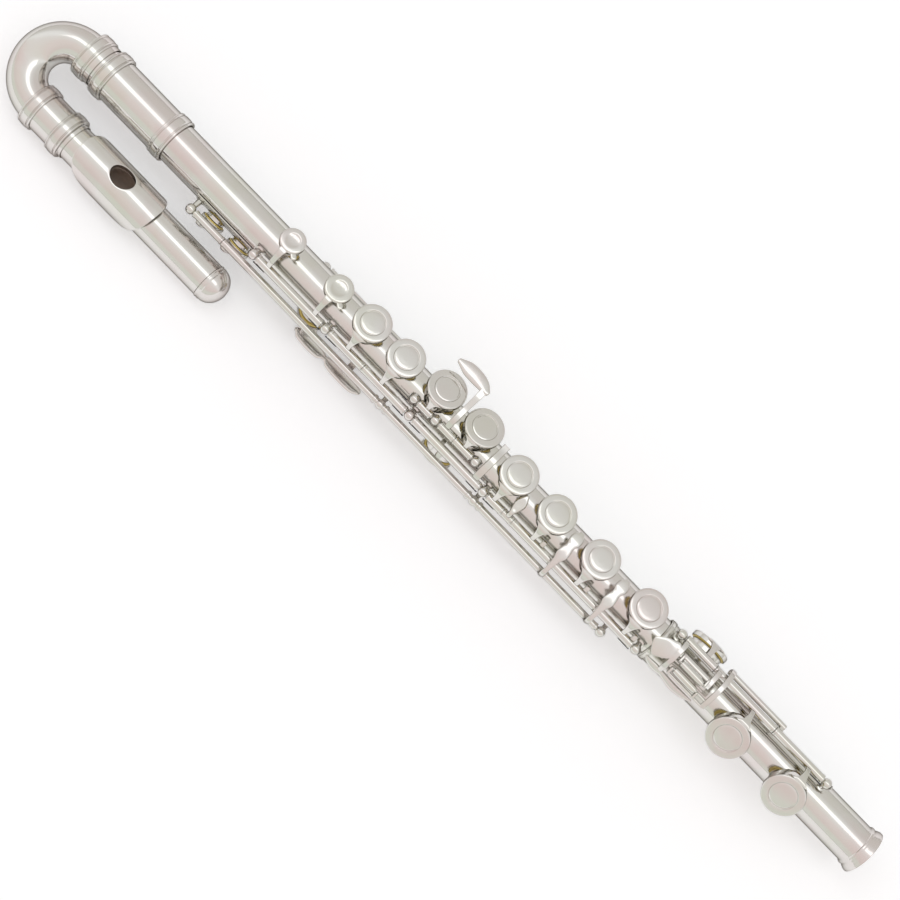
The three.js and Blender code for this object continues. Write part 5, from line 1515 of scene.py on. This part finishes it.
# %% D sharp key of the foot
CRESCENT_STAND, CRESCENT_LENGTH, CRESCENT_WIDTH = 4.7, 26.6, 4
PLATE_PITCH, PLATE_WIDTH, PLATE_STAND = 9.6, 8.6, 1.47
PLATE_ROWS = [
    (12, -0.07, PLATE_STAND, 0.72, 1),
    (2, -0.46, PLATE_STAND, 1, 1),
    (-10, -1, 1.35, 0.98, 1),
]
CRESCENT_ROWS = [
    (-35, -0.29, 0.96, 0.35, 0.45),
    (-37.5, -0.2, 1, 0.8, 0.8),
    (-38.5, -0.07, 1, 1, 0.95),
    (-37.5, 0.06, 1, 0.75, 0.8),
    (-39, 0.17, 1, 0.85, 0.85),
    (-41, 0.35, 1, 1, 1),
    (-39, 0.55, 0.98, 0.8, 0.8),
    (-35, 0.7, 0.96, 0.3, 0.45),
]
D_SHARP_ROWS = [(24, 1.5), (8, 1.5), (-10, 1.4), (-26, 1.17), (-39, 0.96)]
d_sharp_end = c_sharp_arm_at - ARM_WIDTH
c_sharp_end = bar_end_at - ARM_WIDTH
touch_at, stand = d_sharp_foot_arm_at, CRESCENT_STAND
cover_key(
    "d_sharp_foot",
    d_sharp_foot_at,
    D_SHARP_LINE,
    D_SHARP_CUP,
    FOOT_ROD,
    (after(foot_top_at), d_sharp_end),
    0,
    bent_arm(FOOT_ROD, touch_at, stand, ARM_WIDTH, ARM_THICKNESS, D_SHARP_ROWS),
    leaf(touch_at, PLATE_PITCH, stand, PLATE_WIDTH, ARM_THICKNESS, 0, PLATE_ROWS),
    leaf(
        touch_at, CRESCENT_LENGTH, stand, CRESCENT_WIDTH, TOUCH_THICKNESS, FOOT_LINE, CRESCENT_ROWS
    ),
)

# %% [markdown]
# The two low keys stand open and carry a roller frame each. The C key's frame is too far over to
# share the foot rod's line, so it hangs on a bar that runs beside it.

# %% C sharp and C keys of the foot
C_SHARP_ROWS = [(28, 1.18), (13, 1.09), (-1.4, 1)]
C_ROWS = [(46, 1.4), (28, 1.46), (8, 1.31), (-13, 1.09), (-26, 1)]
cover_key(
    "c_sharp_foot",
    c_sharp_foot_at,
    FOOT_LINE,
    FOOT_CUP,
    FOOT_ROD,
    (d_sharp_end + END_GAP, c_sharp_end),
    -FOOT_LIFT,
    bent_arm(FOOT_ROD, c_sharp_arm_at, ROLLER_STAND, ARM_WIDTH, ARM_THICKNESS, C_SHARP_ROWS),
    *roller_frame(C_SHARP_ROLLER, 9.6, ARM_WIDTH, c_sharp_arm_at),
)
link = [(on_rod(rod, bar_end_at), ARM_WIDTH, ARM_THICKNESS * 1.5) for rod in (FOOT_ROD, FOOT_BAR)]
bar_ends = (c_arm_at - ARM_WIDTH / 2, bar_end_at + ARM_WIDTH / 2)
cover_key(
    "c_foot",
    c_foot_at,
    FOOT_LINE,
    FOOT_CUP,
    FOOT_ROD,
    (c_sharp_end + END_GAP, before(foot_end_post_at)),
    -FOOT_LIFT,
    rod_between(*bar_ends, 1.4, FOOT_BAR, edge=0.4),
    bar(link, outward(90), 3),
    bent_arm(FOOT_BAR, c_arm_at, ROLLER_STAND, ARM_WIDTH, ARM_THICKNESS, C_ROWS),
    *roller_frame(C_ROLLER, -26, ARM_THICKNESS, c_arm_at),
)

# %% [markdown]
# The rollers are bodies of their own, because they turn on their axles. They open with their keys,
# which stand open at rest.

# %% Plate screw and rollers
screw_at = Matrix.Translation(over(touch_at - PLATE_PITCH * 0.42, 3, stand * PLATE_STAND + 0.5))
screw_head = moved(turned(rounded(plug(0.7, -0.3, 0.12), 0.1), 20), screw_at)
make("blued_plate_screw", "d_sharp_foot", [screw_head], BLUED, slot="steel")
for node, line in (("c_sharp_roller", C_SHARP_ROLLER), ("c_roller", C_ROLLER)):
    plated(node, node + "_body", [roller(line)], opened=(FOOT_ROD, -FOOT_LIFT))

# %% [markdown]
# The table is a sheet of white paper. The photograph's ground is pure white, so where the camera or
# a polished surface looks at the sheet, it also glows faintly, just enough to reach white in full
# light. Its soft shadow stays. Its fibres are drawn a millimetre or so long, coarser than real
# ones, or they would not show.

# %% Table
TABLE_HALF = 3.0


def white_sheet():
    material, tree, place = new_material("white_paper_sheet")
    fibres = add_node(tree, "ShaderNodeTexNoise", Vector=place, Scale=700, Detail=3)
    bump = add_node(
        tree, "ShaderNodeBump", Strength=0.05, Distance=0.00005, Height=fibres.outputs["Fac"]
    )
    paper = add_node(
        tree, "ShaderNodeBsdfDiffuse", Color=linear("#F2F3F5"), Normal=bump.outputs["Normal"]
    )
    glow = add_node(tree, "ShaderNodeEmission", Color=linear("#FBFDFF"), Strength=0.24)
    both = add_node(tree, "ShaderNodeAddShader", i0=paper.outputs[0], i1=glow.outputs[0])
    rays = add_node(tree, "ShaderNodeLightPath").outputs
    seen = rays["Is Camera Ray"]
    for kind in ("Is Glossy Ray", "Is Transmission Ray"):
        seen = add_node(
            tree, "ShaderNodeMath", {"operation": "MAXIMUM"}, i0=seen, i1=rays[kind]
        ).outputs[0]
    sheet = add_node(tree, "ShaderNodeMixShader", Fac=seen, i1=paper.outputs[0], i2=both.outputs[0])
    return finished(material, sheet)


sheet_mesh = bpy.data.meshes.new("table_sheet")
corners = [(x * TABLE_HALF, y * TABLE_HALF, 0) for x, y in ((-1, -1), (1, -1), (1, 1), (-1, 1))]
sheet_mesh.from_pydata(corners, [], [(0, 1, 2, 3)])
table = bpy.data.objects.new("table_sheet", sheet_mesh)
bpy.context.scene.collection.objects.link(table)
table.data.materials.append(white_sheet())
print("table", 2 * TABLE_HALF, "m square")

# %% [markdown]
# Light for silver. A polished tube shows nothing but the room, so the room is the light: a pale
# tent whose cloth is a shade darker in some places than in others. A tube shows each shade as a
# long soft band. The tent is drawn by how far a direction leans from straight up, towards the far
# side or the near side. A wide strip light overhead gives the one bright band. All of it is plain,
# at a level where a white card renders white.

# %% Tent and strip light
TENT_BANDS = [
    (-92, "#B9B9B2"), (-86, "#E9EBE4"), (-68, "#E8E9E1"), (-58, "#EBE0DC"), (-30, "#F2E8E5"),
    (-14, "#F4F0EE"), (0, "#FFFFFF"), (12, "#FBFBFA"), (22, "#E9E8E6"), (40, "#DFDCD8"),
    (80, "#DAD8D3"), (92, "#BEBCB7"),
]
BELOW_TABLE = "#D0CFCB"


def tent():
    world = bpy.data.worlds.new("white_tent")
    bpy.context.scene.world = world
    world.use_nodes = True
    tree = world.node_tree
    tree.nodes.clear()
    place = add_node(tree, "ShaderNodeTexCoord")
    way = add_node(tree, "ShaderNodeSeparateXYZ", Vector=place.outputs["Generated"]).outputs
    lean = add_node(tree, "ShaderNodeMath", {"operation": "ARCTAN2"}, i0=way["Y"], i1=way["Z"])
    share = add_node(
        tree, "ShaderNodeMapRange", Value=lean.outputs[0], From_Min=-math.pi, From_Max=math.pi
    )
    bands = add_node(tree, "ShaderNodeValToRGB", i0=share.outputs["Result"])
    ramp = bands.color_ramp
    ramp.interpolation = "EASE"
    for end in ramp.elements:
        end.color = linear(BELOW_TABLE)
    for degrees, code in TENT_BANDS:
        ramp.elements.new(degrees / 360 + 0.5).color = linear(code)
    cloth = add_node(tree, "ShaderNodeBackground", Color=bands.outputs["Color"], Strength=1.0)
    add_node(tree, "ShaderNodeOutputWorld", Surface=cloth.outputs[0])
    print("tent with", len(ramp.elements), "shades")


def strip_light(lean, distance, length, width, level):
    """A long soft box over the flute, leaning over from straight up, towards the far side."""
    lamp = bpy.data.lights.new("strip_light", "AREA")
    lamp.shape, lamp.size, lamp.size_y = "RECTANGLE", length, width
    lamp.energy = level * math.pi * length * width
    obj = bpy.data.objects.new("strip_light", lamp)
    bpy.context.scene.collection.objects.link(obj)
    tilt = Matrix.Rotation(-math.radians(lean), 4, "X")
    obj.matrix_world = tilt @ Matrix.Translation((0, 0, distance))
    obj.visible_camera = False
    print("strip light", round(lamp.energy, 1), "W")


tent()
strip_light(lean=4, distance=1.3, length=1.8, width=0.36, level=0.6)
